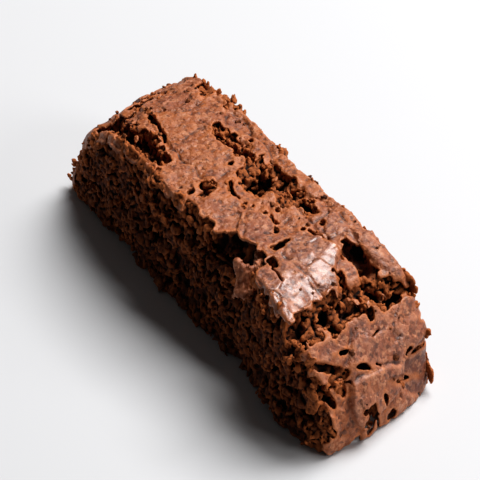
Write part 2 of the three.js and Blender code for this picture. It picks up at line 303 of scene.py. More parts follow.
# Caves under the overhanging rim, notches in the cut face, and the roots of the deepest holes.
CAVITIES = tuple(Cavity(*row) for row in (
    ((11.0, -11.6, 18.2), (9.6, 4.8, 2.9)), ((3.0, -11.9, 16.2), (6.0, 3.4, 2.2)),
    ((-3.5, -11.9, 13.4), (5.6, 2.6, 1.8)), ((-10.5, -12.0, 10.4), (4.6, 2.0, 1.4)),
    ((-17.5, -12.0, 8.4), (3.0, 1.4, 1.0)), ((15.5, -11.6, 12.4), (2.8, 1.9, 1.3)),
    ((27.0, -12.2, 12.8), (1.0, 2.0, 2.4)), ((33.8, -11.6, 16.8), (1.0, 2.0, 2.6)),
    ((15.5, -8.8, 19.0), (5.4, 3.6, 3.2)), ((2.8, 2.4, 19.0), (2.4, 2.8, 2.6)),
    ((-20.0, -8.3, 19.2), (5.5, 1.2, 1.5)), ((-8.5, 3.4, 19.6), (4.6, 1.3, 1.6)),
))


@dataclass
class Broken:
    """The cells that lie around each place of a broken sheet, along the first axis of each table.

    The tables hold each cell's column, row and middle, and how far its border with the place's own cell is.
    """

    column: Array
    row: Array
    along: Array
    across: Array
    border: Array
    own: Array

    def mine(self, values: Array) -> Array:
        """The values of the cell that each place lies in."""
        return np.take_along_axis(values, self.own, 0)[0]

    def chance(self, seed: float) -> Array:
        """A random number from 0 to 1 for the cell that each place lies in."""
        return scatter(self.mine(self.column), self.mine(self.row), seed)

    def torn(self, kept: Array) -> Array:
        """How far each place is from where kept cells end, negative outside them."""
        own = np.take_along_axis(kept, self.own, 0)
        away = np.where(kept == own, FAR, self.border).min(axis=0)
        return np.where(own[0], away, -away)

    def crack(self, share: float, seed: float) -> Array:
        """How far the nearest cracked border is, where some share of them cracked."""
        pair = scatter(self.column + self.mine(self.column), self.row + self.mine(self.row), seed)
        return np.where(pair < share, self.border, FAR).min(axis=0)


@dataclass(frozen=True)
class Shards:
    """The angular cells that a brittle sheet breaks into, from their spacing and a seed.

    Each cell's middle keeps a margin from its square's border and has some play inside it.
    """

    spacing: float
    seed: float
    margin: float = 0.1
    play: float = 0.8

    def lay(self, a: Array, b: Array) -> Broken:
        """Finds each place's own cell and the ones around it.

        Args:
            a: Places along.
            b: Places across.

        Returns:
            The broken sheet.
        """
        offsets = [(i, j) for i in range(-2, 3) for j in range(-2, 3)]
        column = np.stack([np.floor(a / self.spacing) + i for i, _ in offsets])
        row = np.stack([np.floor(b / self.spacing) + j for _, j in offsets])
        along = (column + self.margin + self.play * scatter(column, row, self.seed)) * self.spacing
        across = (row + self.margin + self.play * scatter(column, row, self.seed + 1)) * self.spacing
        own = np.argmin(np.hypot(along - a, across - b), axis=0)[None]
        gap_a = along - np.take_along_axis(along, own, 0)
        gap_b = across - np.take_along_axis(across, own, 0)
        run = (along - gap_a / 2 - a) * gap_a + (across - gap_b / 2 - b) * gap_b
        gap = np.hypot(gap_a, gap_b)
        border = np.where(gap > TINY, run / np.maximum(gap, TINY), FAR)
        return Broken(column, row, along, across, border, own)


@dataclass(frozen=True)
class Loaf:
    """The loaf's section and the slice cut from it, as the solid has them."""

    length: float = 91.0
    thickness: float = 2 * HALF_THICKNESS
    height: float = 20.5
    slant: float = 7.0
    foot_radius: float = 1.4
    end_power_near: float = 6.0
    end_power_far: float = 4.6
    top_power: float = 1.7
    middle: Pair = (-0.043, 0.255)

    @property
    def half_run(self) -> float:
        """Half of the section's length."""
        return (self.length - self.slant) / 2

    def within(self, x: Array, z: Array) -> Array:
        """Which points of the XZ plane lie within the section.

        Args:
            x: Places along X.
            z: Places up Z.

        Returns:
            Whether each point lies within.
        """
        low = np.clip(self.foot_radius - z, 0.0, self.foot_radius)
        tuck = self.foot_radius - np.sqrt(self.foot_radius**2 - low**2)
        power = np.where(x > 0, self.end_power_near, self.end_power_far)
        reach = (np.abs(x) / (self.half_run - tuck)) ** power
        return (z >= 0) & (reach + (np.maximum(z, 0) / self.height) ** self.top_power < 1)

    def crust_line(self, way: int, steps: int = 600) -> tuple[Array, Array]:
        """Half of the crust's line in the section, from the middle of the top down to the underside.

        Args:
            way: 1 towards +X, -1 towards -X.
            steps: How many points the line has, less one.

        Returns:
            The line's points, and each point's distance along the line.
        """
        half_high = self.height / 2
        foot = -math.atan2(half_high, self.half_run - self.foot_radius)
        angle = np.linspace(math.pi / 2, foot, steps + 1)
        angle = angle if way > 0 else math.pi - angle
        inner, outer = np.zeros(steps + 1), np.full(steps + 1, self.half_run + half_high)
        for _ in range(40):
            reach = (inner + outer) / 2
            held = self.within(np.cos(angle) * reach, half_high + np.sin(angle) * reach)
            inner, outer = np.where(held, reach, inner), np.where(held, outer, reach)
        points = np.stack([np.cos(angle) * inner, half_high + np.sin(angle) * inner], -1)
        run = np.linalg.norm(np.diff(points, axis=0), axis=1)
        return points, np.concatenate([[0.0], np.cumsum(run)])

    def placed(self, points: Array) -> Array:
        """Leans, centres and scales upright points to their place in the frame, in metres."""
        lean = -self.slant * points[:, 1] / self.thickness
        moved = points + np.stack([lean, np.zeros_like(lean), np.zeros_like(lean)], -1)
        return (moved - np.array([*self.middle, 0.0])) * MM


@dataclass(frozen=True)
class Relief:
    """The heights and widths of everything that makes the slice uneven.

    A pair is the spacing of some unevenness and its height, where nothing else is said.
    """

    rough_level: float = -0.5
    rough_shrink: float = 0.2
    # Between which distances inside a rough place's rim it sinks, and turns rough.
    sink_rim: Pair = (-0.4, 0.9)
    rough_rim: Pair = (-0.6, 0.6)
    grow: float = 0.9
    plate_lift: float = 1.5
    # How sharply one plate passes into the next, and how far inside a plate its rim is last felt.
    plate_blend: Pair = (4.5, 2.4)
    # The crust's limit over the loaf, and how much it rises between two places towards the ends.
    highest: float = 0.9
    highest_ends: Triple = (2.4, 18.0, 34.0)
    swell: Pair = (13.0, 0.7)
    bump: Pair = (5.0, 0.3)
    wander: Pair = (2.6, 0.6)
    waver: Pair = (1.3, 0.3)
    tear: Pair = (1.5, 0.4)
    fray: Pair = (0.8, 0.22)
    wrinkle: Pair = (2.8, 0.13)
    dent: Pair = (3.3, 0.28)
    crackle: Pair = (0.9, 0.06)
    # The cosine and the sine of the way that wrinkles run.
    skew: Pair = (0.8, 0.6)
    seam: Pair = (0.5, 0.35)
    shard: float = 1.35
    strewn: float = 0.3
    strewn_within: float = 9.8
    # How much of a torn edge follows the shards, the even edge and the tear.
    edge_mix: Triple = (0.72, 0.28, 0.25)
    edge_reach: float = 0.8
    flake: float = 4.3
    flake_step: float = 0.24
    flake_tilt: float = 0.09
    flake_cracks: float = 0.15
    crack_width: float = 0.16
    crack_groups: float = 6.0
    curl: Pair = (2.6, 0.4)
    rim_width: float = 0.9
    face_wave: Pair = (8.0, 0.45)
    face_crumb: Pair = (2.9, 0.6)
    pore_spacing: float = 6.5
    pore_radius: float = 1.9
    pore_depth: float = 1.3
    grains: tuple[Triple, ...] = ((2.0, 1.5, 0.9), (1.15, 1.2, 0.7), (0.7, 0.7, 0.35))
    wide_pores: tuple[int, float, float] = (2600, 0.45, 1.5)
    fine_pores: tuple[int, float, float] = (8000, 0.22, 0.55)
    crust_grains: tuple[Triple, ...] = ((1.5, 0.12, 0.08), (0.8, 0.14, 0.1))
    crust_thickness: float = 0.8
    overhang: float = 0.25
    overhang_most: float = 0.55
    # By what share the overhang's raggedness fades, and between which places towards the ends.
    overhang_fade: Triple = (0.8, 33.0, 38.0)
    ceiling: float = 21.5
    widest: float = 13.3
    undercut: float = 0.45
    # Where the left cut face lies furthest back below the rim, how far back, and how that begins and ends.
    overhung: Triple = (-16.0, 24.0, 1.5)
    overhung_fades: Pair = (8.0, 6.0)
    # The groove under the rim: how far below the crumb's top, how wide, its least depth and its further one.
    lip: tuple[float, float, float, float] = (1.3, 0.9, 0.25, 0.8)
    # Between which distances from a torn edge the crust comes to cover the crumb.
    covered: Pair = (0.2, 1.3)
    bedded: float = 0.7
    bare_over: float = 0.3
    crumb_share: float = 0.75
    rim_radius: float = 0.5
    cavity_rim: float = 0.4
    pore_rim: float = 0.12
    # How much of the grains covered crumb has, and how much more of them open crumb has.
    openness: Pair = (0.06, 0.94)
    narrow: float = 0.95
    # How round the cut faces' rims are, over the top and at the ends, and where the one becomes the other.
    edge_top: float = 0.8
    edge_end: float = 2.0
    edge_turn: Pair = (28.0, 42.0)
    bulges: tuple[tuple[int, float, float, float], ...] = (
        (1, 6.0, 22.0, -1.3),
        (1, 39.0, 12.0, 1.7),
        (-1, 31.0, 13.0, 1.1),
    )

    def face_swell(self, x: Array, z: Array, side: int) -> Array:
        """How far a cut face swells out of its plane, the same as the solid's.

        Args:
            x: Places along X.
            z: Places up Z.
            side: Which cut face: 1 or -1 along Y.

        Returns:
            The swelling in millimetres.
        """
        size, height = self.face_wave
        total = height * lumps(x / size, z / size, 20 * side + 0.5)
        for at_side, middle, reach, high in self.bulges:
            if at_side == side:
                total += high * (1 - smoothstep(np.abs(x - middle) / reach, 0, 1))
        return total

    def face_relief(self, x: Array, z: Array, side: int) -> Array:
        """The coarse crumb and pores of a cut face, the same as the solid's.

        Args:
            x: Places along X.
            z: Places up Z.
            side: Which cut face: 1 or -1 along Y.

        Returns:
            The height in millimetres.
        """
        size, height = self.face_crumb
        crumb = height * lumps(x / size, z / size, 20 * side + 3.5)
        column, row = np.floor(x / self.pore_spacing), np.floor(z / self.pore_spacing)
        pore = np.zeros_like(crumb)
        for i in (-1, 0, 1):
            for j in (-1, 0, 1):
                a, b = column + i, row + j
                middle_x = (a + scatter(a, b, side)) * self.pore_spacing
                middle_z = (b + scatter(a, b, side + 5)) * self.pore_spacing
                radius = self.pore_radius * (0.6 + 0.7 * scatter(a, b, side + 9))
                away = np.hypot(x - middle_x, z - middle_z) / radius
                pore = np.maximum(pore, self.pore_depth * (1 - away * away))
        return crumb - pore


@dataclass
class CrustMap:
    """The crust laid out flat: tables of its heights and finishes over along and across.

    Args:
        relief: The heights and widths of the unevenness.
    """

    relief: Relief
    reach: Pair = (60.0, 17.0)
    step: float = 0.2
    swell: Array = field(init=False)
    lift: Array = field(init=False)
    top: Array = field(init=False)
    bare: Array = field(init=False)
    edge: Array = field(init=False)
    rim: Array = field(init=False)
    hollow: Array = field(init=False)
    sink: Array = field(init=False)
    rough: Array = field(init=False)
    smooth: Array = field(init=False)
    seam: Array = field(init=False)
    tone: Array = field(init=False)
    gloss: Array = field(init=False)

    def __post_init__(self) -> None:
        """Works out every table."""
        axes = [np.arange(-reach, reach + self.step, self.step) for reach in self.reach]
        a, b = np.meshgrid(*axes, indexing="ij")
        size, reach = self.relief.wander
        wa = a + reach * lumps(a / size, b / size, Layer.WANDER_ALONG)
        wb = b + reach * lumps(a / size, b / size, Layer.WANDER_ACROSS)
        size, reach = self.relief.tear
        fine = lumps(2.7 * a / size, 2.7 * b / size, Layer.FINE_TEAR)
        tear = reach * (lumps(a / size, b / size, Layer.TEAR) + 0.7 * fine)
        size, reach = self.relief.waver
        va = a + reach * lumps(a / size, b / size, Layer.WAVER_ALONG)
        vb = b + reach * lumps(a / size, b / size, Layer.WAVER_ACROSS)
        self._lay_plates(wa, wb, tear)
        self._open_rough(wa, wb, tear)
        self._sink_hollows(wa, wb, tear)
        self._shatter(va, vb, tear)
        self._roll(wa, wb)
        self._nick(a, b, tear)
        self._settle_flakes(va, vb)
        self._shape_top(a, b, va, vb)

    def _lay_plates(self, wa: Array, wb: Array, tear: Array) -> None:
        """Finds each place's plate: its lift, its finish, and the seams where plates meet.

        Args:
            wa: Places along, moved about.
            wb: Places across, moved about.
            tear: How ragged torn edges are at each place.
        """
        insides = np.stack([plate.inside(wa, wb) for plate in PLATES])
        sharpness, deepest = self.relief.plate_blend
        near = np.exp(sharpness * np.minimum(insides, deepest))
        near /= near.sum(axis=0)
        self.lift = np.tensordot([plate.height for plate in PLATES], near, axes=(0, 0))
        self.lift *= self.relief.plate_lift
        self.tone = np.tensordot([plate.tone.value for plate in PLATES], near, axes=(0, 0))
        self.gloss = np.tensordot([plate.gloss for plate in PLATES], near, axes=(0, 0))
        best = np.sort(insides, axis=0)[-2:]
        self.seam = np.exp(-(((best[1] - best[0]) / self.relief.seam[0]) ** 2))
        self.seam *= 1 - smoothstep(best[1], 1.2, 2.6)
        self.edge = best[1] + self.relief.grow + tear

    def _open_rough(self, wa: Array, wb: Array, tear: Array) -> None:
        """Opens and sinks the rough places.

        Args:
            wa: Places along, moved about.
            wb: Places across, moved about.
            tear: How ragged torn edges are at each place.
        """
        insides = np.stack([patch.inside(wa, wb) for patch in ROUGH])
        depths = np.array([patch.height for patch in ROUGH])[:, None, None]
        self.sink = (depths * smoothstep(insides, *self.relief.sink_rim)).max(axis=0)
        inside = insides.max(axis=0)
        self.rough = smoothstep(np.maximum(inside, -self.edge), *self.relief.rough_rim)
        self.edge = np.minimum(self.edge, -inside - self.relief.rough_shrink + tear)

    def _sink_hollows(self, wa: Array, wb: Array, tear: Array) -> None:
        """Cuts the hollows and bubbles through the plates and into the crumb.

        Args:
            wa: Places along, moved about.
            wb: Places across, moved about.
            tear: How ragged torn edges are at each place.
        """
        self.hollow = np.zeros_like(wa)
        self.smooth = np.zeros_like(wa)
        for hollow in HOLLOWS + BUBBLES:
            if min(hollow.half_length, hollow.half_width) > self.relief.narrow:
                self._dig(hollow, hollow.inside(wa, wb) + 0.3 * tear)
        for bubble in BUBBLES:
            self.smooth = np.maximum(self.smooth, smoothstep(bubble.inside(wa, wb), -0.8, 0.3))

    def _nick(self, a: Array, b: Array, tear: Array) -> None:
        """Cuts the narrow hollows, the slits and the pinholes.

        Args:
            a: Places along.
            b: Places across.
            tear: How ragged torn edges are at each place.
        """
        size, reach = self.relief.fray
        frayed = reach * lumps(a / size, b / size, Layer.FRAY)
        for nick in HOLLOWS + NICKS:
            if min(nick.half_length, nick.half_width) <= self.relief.narrow:
                self._dig(nick, nick.inside(a + 0.5 * tear, b + 0.6 * tear) + frayed)

    def _dig(self, hollow: Patch, inside: Array) -> None:
        """Digs one hollow, wider under the crust than through it.

        Args:
            hollow: The hollow.
            inside: How far inside its rim each place is.
        """
        narrow = min(hollow.half_length, hollow.half_width)
        share = np.clip((inside + self.relief.undercut * min(1, narrow)) / (0.6 * narrow + 0.3), 0, 1)
        self.hollow = np.maximum(self.hollow, hollow.height * (1 - (1 - share) ** 2))
        self.edge = np.minimum(self.edge, -inside)

    def _shatter(self, a: Array, b: Array, tear: Array) -> None:
        """Makes every torn edge follow small shards, and strews loose shards over the rough places.

        Args:
            a: Places along.
            b: Places across.
            tear: How ragged torn edges are at each place.
        """
        shards = Shards(self.relief.shard, Layer.SHARDS).lay(a, b)
        chance = scatter(shards.column, shards.row, Layer.SHARD_CHANCE)
        level = self.at(self.edge, shards) + 0.5 * (chance - 0.5)
        strewn = scatter(shards.column, shards.row, Layer.STREWN) < self.relief.strewn
        strewn &= (self.at(self.rough, shards) > 0.5) & (self.at(self.hollow, shards) < 0.4)
        strewn &= np.abs(b) < self.relief.strewn_within
        torn = shards.torn((level > 0) | strewn)
        angular, even, ragged = self.relief.edge_mix
        reach = self.relief.edge_reach
        self.edge = angular * torn + even * np.clip(self.edge, -reach, reach) + ragged * tear

    def _roll(self, wa: Array, wb: Array) -> None:
        """Keeps the rolled plates whole and rounds them up.

        Args:
            wa: Places along, moved about.
            wb: Places across, moved about.
        """
        for roll in ROLLS:
            inside = roll.inside(wa, wb)
            share = np.clip(inside / roll.half_width, 0, 1)
            self.lift += roll.height * np.sqrt(1 - (1 - share) ** 2)
            self.edge = np.maximum(self.edge, np.minimum(inside, 1.5))
            self.hollow *= 1 - smoothstep(inside, -0.3, 0.3)
            self.sink *= 1 - smoothstep(inside, -0.3, 0.3)

    def _settle_flakes(self, a: Array, b: Array) -> None:
        """Lets the crust's flakes stand higher or lower, or lean, with hair cracks between some of them.

        Args:
            a: Places along.
            b: Places across.
        """
        relief = self.relief
        flakes = Shards(relief.flake, Layer.FLAKES).lay(a, b)
        calm = 1 - 0.65 * smoothstep(-self.tone, 0.3, 0.9) - 0.75 * smoothstep(self.tone, 0.55, 0.9)
        lean = (2 * flakes.chance(Layer.FLAKE_TILT_ALONG) - 1) * (a - flakes.mine(flakes.along))
        lean += (2 * flakes.chance(Layer.FLAKE_TILT_ACROSS) - 1) * (b - flakes.mine(flakes.across))
        step = relief.flake_step * (2 * flakes.chance(Layer.FLAKE_STEP) - 1)
        self.lift += calm * (step + relief.flake_tilt * lean)
        self.rim = self.edge.copy()
        away = flakes.crack(relief.flake_cracks, Layer.FLAKE_CRACKS)
        size = relief.crack_groups
        open_by = calm * relief.crack_width * smoothstep(lumps(a / size, b / size, Layer.CRACKED), -0.3, 0.5)
        self.edge = np.minimum(self.edge, away - open_by)
        self.hollow = np.maximum(self.hollow, 0.7 * smoothstep(open_by - away, -0.25, 0.1))
        self.seam = np.maximum(self.seam, 0.8 * calm * np.exp(-((away / 0.35) ** 2)))

    def _shape_top(self, a: Array, b: Array, va: Array, vb: Array) -> None:
        """Adds the loaf's swell, the crust's own wrinkles and its curled rims to the plates' lift.

        Args:
            a: Places along.
            b: Places across.
            va: Places along, moved about a little.
            vb: Places across, moved about a little.
        """
        relief = self.relief
        self.swell = relief.swell[1] * lumps(a / relief.swell[0], b / relief.swell[0], Layer.SWELL)
        self.swell += relief.bump[1] * lumps(a / relief.bump[0], b / relief.bump[0], Layer.BUMP)
        endward = smoothstep(np.abs(a), *relief.edge_turn)
        radius = relief.edge_top + (relief.edge_end - relief.edge_top) * endward
        past = np.clip(np.abs(b) - HALF_THICKNESS + radius, 0, radius)
        self.swell -= radius - np.sqrt(radius**2 - past**2)
        size, height = relief.wrinkle
        cosine, sine = relief.skew
        skewed = cosine * va + sine * vb, cosine * vb - sine * va
        folds = 1 - 2 * np.abs(lumps(skewed[0] / size, 1.2 * skewed[1] / size, Layer.FOLDS))
        wrinkle = height * folds * (0.5 + 0.7 * np.clip(self.gloss, 0, 1))
        for layer, (size, height) in ((Layer.DENT, relief.dent), (Layer.CRACKLE, relief.crackle)):
            wrinkle += height * lumps(skewed[0] / size, skewed[1] / size, layer)
        rim = np.exp(-((np.maximum(self.edge, 0) / relief.rim_width) ** 2))
        size, height = relief.curl
        curl = height * rim * (0.4 + lumps(a / size, b / size, Layer.CURL))
        top = self.swell + self.lift + wrinkle + curl - relief.seam[1] * self.seam - 0.8 * self.sink
        more, first, last = relief.highest_ends
        limit = relief.highest + more * smoothstep(np.abs(a), first, last)
        self.top = -smooth_max(-top, -limit, 0.4)
        streaks = lumps(a / 3.5, b / 0.9, Layer.STREAKS) + 0.5 * lumps(a / 1.6, b / 0.7, Layer.FINE_STREAKS)
        self.bare = self.swell + np.minimum(self.lift, 0.5) + relief.rough_level - self.sink + 0.3 * streaks

    def at(self, table: Array, cells: Broken) -> Array:
        """A table's values at the middles of cells."""
        spots = (cells.along + self.reach[0]) / self.step, (cells.across + self.reach[1]) / self.step
        i, j = (np.clip(np.round(spot), 0, count - 1).astype(int) for spot, count in zip(spots, table.shape))
        return table[i, j]

    def read(self, table: Array, along: Array) -> Array:
        """A table's rows at some places along.

        Args:
            table: One of this map's tables.
            along: The places along, in any shape.

        Returns:
            The rows, one axis more than along has.
        """
        spot = np.clip((along + self.reach[0]) / self.step, 0, table.shape[0] - 1.001)
        low = spot.astype(int)
        share = (spot - low)[..., None].astype(np.float32)
        table = table.astype(np.float32)
        return table[low] * (1 - share) + table[low + 1] * share


@dataclass
class Grid:
    """A box of regularly spaced points, with fields of values over it."""

    low: Triple
    high: Triple
    step: float

    def axis(self, index: int) -> Array:
        """The points' coordinates along one axis."""
        count = int(round((self.high[index] - self.low[index]) / self.step))
        return self.low[index] + self.step * np.arange(count + 1)

    @property
    def shape(self) -> tuple[int, int, int]:
        """How many points there are along each axis."""
        return tuple(len(self.axis(index)) for index in range(3))

    def read(self, values: Array, points: Array) -> Array:
        """A field's values at some points, by straight interpolation.

        Args:
            values: The field.
            points: The points, in millimetres.

        Returns:
            One value for each point.
        """
        spots = (points - np.array(self.low)) / self.step
        spots = np.clip(spots, 0, np.array(values.shape) - 1.001)
        low = spots.astype(int)
        share = spots - low
        total = np.zeros(len(points))
        for corner in range(8):
            on = np.array([corner & 1, (corner >> 1) & 1, corner >> 2])
            weight = np.prod(np.where(on, share, 1 - share), axis=1)
            spot = low + on
            total += weight * values[spot[:, 0], spot[:, 1], spot[:, 2]]
        return total

    def blurred(self, values: Array, radius: float) -> Array:
        """A field averaged over a cube about each point.

        Args:
            values: The field.
            radius: Half of the cube's side.

        Returns:
            The averaged field.
        """
        reach = max(1, int(round(radius / self.step)))
        for axis in range(3):
            first, last = np.take(values, [0], axis), np.take(values, [-1], axis)
            padded = [np.repeat(first, reach + 1, axis), values, np.repeat(last, reach, axis)]
            total = np.cumsum(np.concatenate(padded, axis), axis=axis, dtype=np.float64)
            count = values.shape[axis]
            high = np.take(total, range(2 * reach + 1, 2 * reach + 1 + count), axis)
            low = np.take(total, range(count), axis)
            values = ((high - low) / (2 * reach + 1)).astype(np.float32)
        return values

    def evened(self, values: Array) -> Array:
        """A field whose zero surface is kept, but which nowhere rises faster than distances do.

        Args:
            values: The field.

        Returns:
            The evened field.
        """
        slopes = np.gradient(values.astype(np.float32), np.float32(self.step))
        steep = np.sqrt(sum(slope * slope for slope in slopes))
        return values / np.maximum(self.blurred(steep, self.step), 1.0)

    def clouds(self, spacing: float, seed: int, stretch: Triple = (1, 1, 1)) -> Array:
        """A smooth random field from -1 to 1.

        Args:
            spacing: The size of its swellings.
            seed: Which field is taken.
            stretch: How much longer the swellings are along each axis.

        Returns:
            The field over the whole grid.
        """
        random = np.random.default_rng(seed)
        sizes = [spacing * share for share in stretch]
        counts = [int((self.high[axis] - self.low[axis]) / sizes[axis]) + 3 for axis in range(3)]
        values = random.uniform(-1, 1, counts).astype(np.float32)
        for axis in range(3):
            spot = (self.axis(axis) - self.low[axis]) / sizes[axis]
            low = np.floor(spot).astype(int)
            ease = spot - low
            ease = (ease * ease * (3 - 2 * ease)).astype(np.float32)
            shape = [1, 1, 1]
            shape[axis] = len(ease)
            ease = ease.reshape(shape)
            values = np.take(values, low, axis) * (1 - ease) + np.take(values, low + 1, axis) * ease
        return values

    def granules(self, points: Array, spacing: float, seed: int) -> tuple[Array, Array]:
        """Scatters points through the grid and finds how near each wanted place is to one of them.

        Args:
            points: Where the distances are wanted.
            spacing: The mean distance between the scattered points.
            seed: Which scatter is taken.

        Returns:
            Squared distances, as a share of the spacing, that are 0 in the middle of each granule and rise to
            about 0.9 in the creases between them, and a random number from 0 to 1 for each granule.
        """
        random = np.random.default_rng(seed)
        spots = ((points - np.array(self.low, np.float32)) / spacing + 3).astype(np.float32)
        counts = [int((self.high[axis] - self.low[axis]) / spacing) + 8 for axis in range(3)]
        offsets = random.uniform(0.1, 0.9, (*counts, 3)).astype(np.float32).reshape(-1, 3)
        tints = random.random(len(offsets)).astype(np.float32)
        cells = np.floor(spots).astype(np.int32)
        inner = spots - cells
        flat = (cells[:, 0] * counts[1] + cells[:, 1]) * counts[2] + cells[:, 2]
        nearest = np.full(len(points), FAR, np.float32)
        tint = np.zeros(len(points), np.float32)
        for i in (-1, 0, 1):
            for j in (-1, 0, 1):
                for k in (-1, 0, 1):
                    index = flat + (i * counts[1] + j) * counts[2] + k
                    away = offsets[index]
                    away += np.array([i, j, k], np.float32) - inner
                    square = np.einsum("ij,ij->i", away, away)
                    closer = square < nearest
                    nearest[closer] = square[closer]
                    tint[closer] = tints[index[closer]]
        return nearest, tint


@dataclass
class SliceField:
    """The slice as fields of distances: negative inside, positive outside, in millimetres."""

    loaf: Loaf = field(default_factory=Loaf)
    relief: Relief = field(default_factory=Relief)
    grid: Grid = field(default_factory=lambda: Grid((-45.0, -13.8, -0.8), (45.0, 13.8, 22.6), grid_step()))
    across_most: float = 16.5
    # How far grains are moved out of their order, and how far apart points lie that are moved differently.
    stir: Pair = (0.45, 1.9)
    crust_stir: Pair = (0.3, 1.2)

    def __post_init__(self) -> None:
        """Works out the fields that the crumb and the crust share."""
        x, y, z = (self.grid.axis(axis) for axis in range(3))
        self.map = CrustMap(self.relief)
        self.out, self.along = self._crust_distance(x, z)
        self.x, self.y, self.z = np.meshgrid(x, y, z, indexing="ij", sparse=True)
        x, z = np.meshgrid(x, z, indexing="ij")
        self.swells = {side: self.relief.face_swell(x, z, side) for side in (-1, 1)}
        self.reliefs = {side: self.relief.face_relief(x, z, side) for side in (-1, 1)}
        self._lay_across()

    def _crust_distance(self, x: Array, z: Array) -> tuple[Array, Array]:
        """The distance out from the crust's mean line, and the place along it, over the section.

        Args:
            x: Places along X.
            z: Places up Z.

        Returns:
            Two tables over x and z.
        """
        near, near_run = self.loaf.crust_line(1)
        far, far_run = self.loaf.crust_line(-1)
        line = np.concatenate([far[::-1], near[1:]])
        run = np.concatenate([-far_run[::-1], near_run[1:]])
        spots = np.stack(np.meshgrid(x, z, indexing="ij"), -1).astype(np.float32)
        reach = np.full(spots.shape[:2], 1e9, np.float32)
        along = np.zeros(spots.shape[:2], np.float32)
        for point, at in zip(line.astype(np.float32), run):
            away = (spots[..., 0] - point[0]) ** 2 + (spots[..., 1] - point[1]) ** 2
            np.copyto(along, at, where=away < reach)
            np.minimum(away, reach, out=reach)
        reach = np.sqrt(reach)
        held = self.loaf.within(spots[..., 0], spots[..., 1])
        beneath = spots[..., 1] < 0
        side = np.abs(spots[..., 0]) - (self.loaf.half_run - self.loaf.foot_radius)
        level = np.where(beneath, np.where(side > 0, side, -reach), np.where(held, -reach, reach))
        return level.astype(np.float32), along

    def _lay_across(self) -> None:
        """Finds where each point of the grid lies across the crust map, whose borders are the cut faces."""
        swell = np.where(self.y > 0, self.swells[1][:, None, :], self.swells[-1][:, None, :])
        half = swell + HALF_THICKNESS
        across = np.clip(self.y * HALF_THICKNESS / half, -self.across_most, self.across_most)
        spot = (across + self.map.reach[1]) / self.map.step
        self.spot = np.floor(spot).astype(np.int16)
        self.spot_share = (spot - self.spot).astype(np.float32)

    def over_crust(self, table: Array) -> Array:
        """One of the crust map's tables, read at every point of the grid.

        Args:
            table: The table.

        Returns:
            A field over the whole grid.
        """
        rows = np.swapaxes(self.map.read(table, self.along), 1, 2)
        low = np.take_along_axis(rows, self.spot.astype(np.int64), axis=1)
        high = np.take_along_axis(rows, self.spot.astype(np.int64) + 1, axis=1)
        return low + (high - low) * self.spot_share

    def faces(self, relief_share: float, extra: Array | float) -> Array:
        """The distance out from the nearer cut face.

        Args:
            relief_share: How much of the coarse crumb and pores is counted.
            extra: How far the faces are moved out, one value or a field.

        Returns:
            The distances over the whole grid.
        """
        planes = []
        for side in (-1, 1):
            height = self.swells[side] + relief_share * self.reliefs[side]
            planes.append((side * self.y - (HALF_THICKNESS + height[:, None, :])).astype(np.float32))
        return np.maximum(*planes) - extra

    def crumb(self) -> Array:
        """The open crumb: the slice without its crust, eaten into by gaps and pores."""
        relief, grid = self.relief, self.grid
        edge = self.over_crust(self.map.edge)
        covered = smoothstep(edge, *relief.covered)
        under_plate = self.over_crust(self.map.top) - relief.bedded * relief.crust_thickness
        bare = np.minimum(self.over_crust(self.map.bare), under_plate + relief.bare_over)
        level = bare + (under_plate - bare) * covered - self.over_crust(self.map.hollow)
        depth = self.out[:, None, :] - level
        faces = self.faces(relief.crumb_share, 0.0) + self._lip(depth, covered)
        body = smooth_max(depth, faces, relief.rim_radius)
        ragged = 0.22 * grid.clouds(1.1, Seed.RAGGED) + 0.25 * grid.clouds(2.6, Seed.COARSE_RAGGED)
        for cavity in CAVITIES:
            self._eat(body, cavity.middle, cavity.half_sizes, ragged, relief.cavity_rim)
        open_air = 1 - covered * smoothstep(-faces, 0.2, 1.2)
        smooth = 1 - 0.9 * self.over_crust(self.map.smooth) * smoothstep(-faces, 0.2, 1.0)
        least, more = relief.openness
        amount = ((least + more * open_air) * smooth).astype(np.float32)
        foot = -self.z + 0.1 + 0.1 * grid.clouds(1.6, Seed.UNDERSIDE)
        body = grid.evened(np.maximum(body, foot))
        body = self._pored(body, amount, relief.wide_pores, Seed.WIDE_PORES)
        body = self._grained(body, amount, smoothstep(-faces, 0.3, 1.5))
        body = self._pored(body, amount, relief.fine_pores, Seed.FINE_PORES)
        body = smooth_max(body, self.z - relief.ceiling, 0.3)
        return np.maximum(np.maximum(body, np.abs(self.y) - relief.widest), -self.z).astype(np.float32)

    def _lip(self, depth: Array, covered: Array) -> Array:
        """How far the cut faces step back below the crust's rim.

        Args:
            depth: The distances out from the crumb's top.
            covered: Where crust covers it, from 0 to 1.

        Returns:
            The distances over the whole grid.
        """
        below, width, least, more = self.relief.lip
        first, last, extra = self.relief.overhung
        fade_in, fade_out = self.relief.overhung_fades
        bitten = smoothstep(self.x, first, first + fade_in) * (1 - smoothstep(self.x, last - fade_out, last))
        bitten = bitten * (self.y < 0)
        varied = np.clip(self.grid.clouds(6.0, Seed.LIPS, (1.5, 9, 9)), 0, 1)
        lip = np.exp(-(((depth + below) / width) ** 2)) * covered
        return lip * (least + more * varied + extra * bitten)

    def stirred(self, points: Array) -> Array:
        """Points moved about a little, so that what is laid over them loses its order.

        Args:
            points: The points, in millimetres.

        Returns:
            The moved points.
        """
        moved = points.astype(np.float32)
        for axis in range(3):
            push = self.grid.clouds(self.stir[1], Seed.STIR + axis)
            moved[:, axis] += self.stir[0] * self.grid.read(push, points)
        return moved

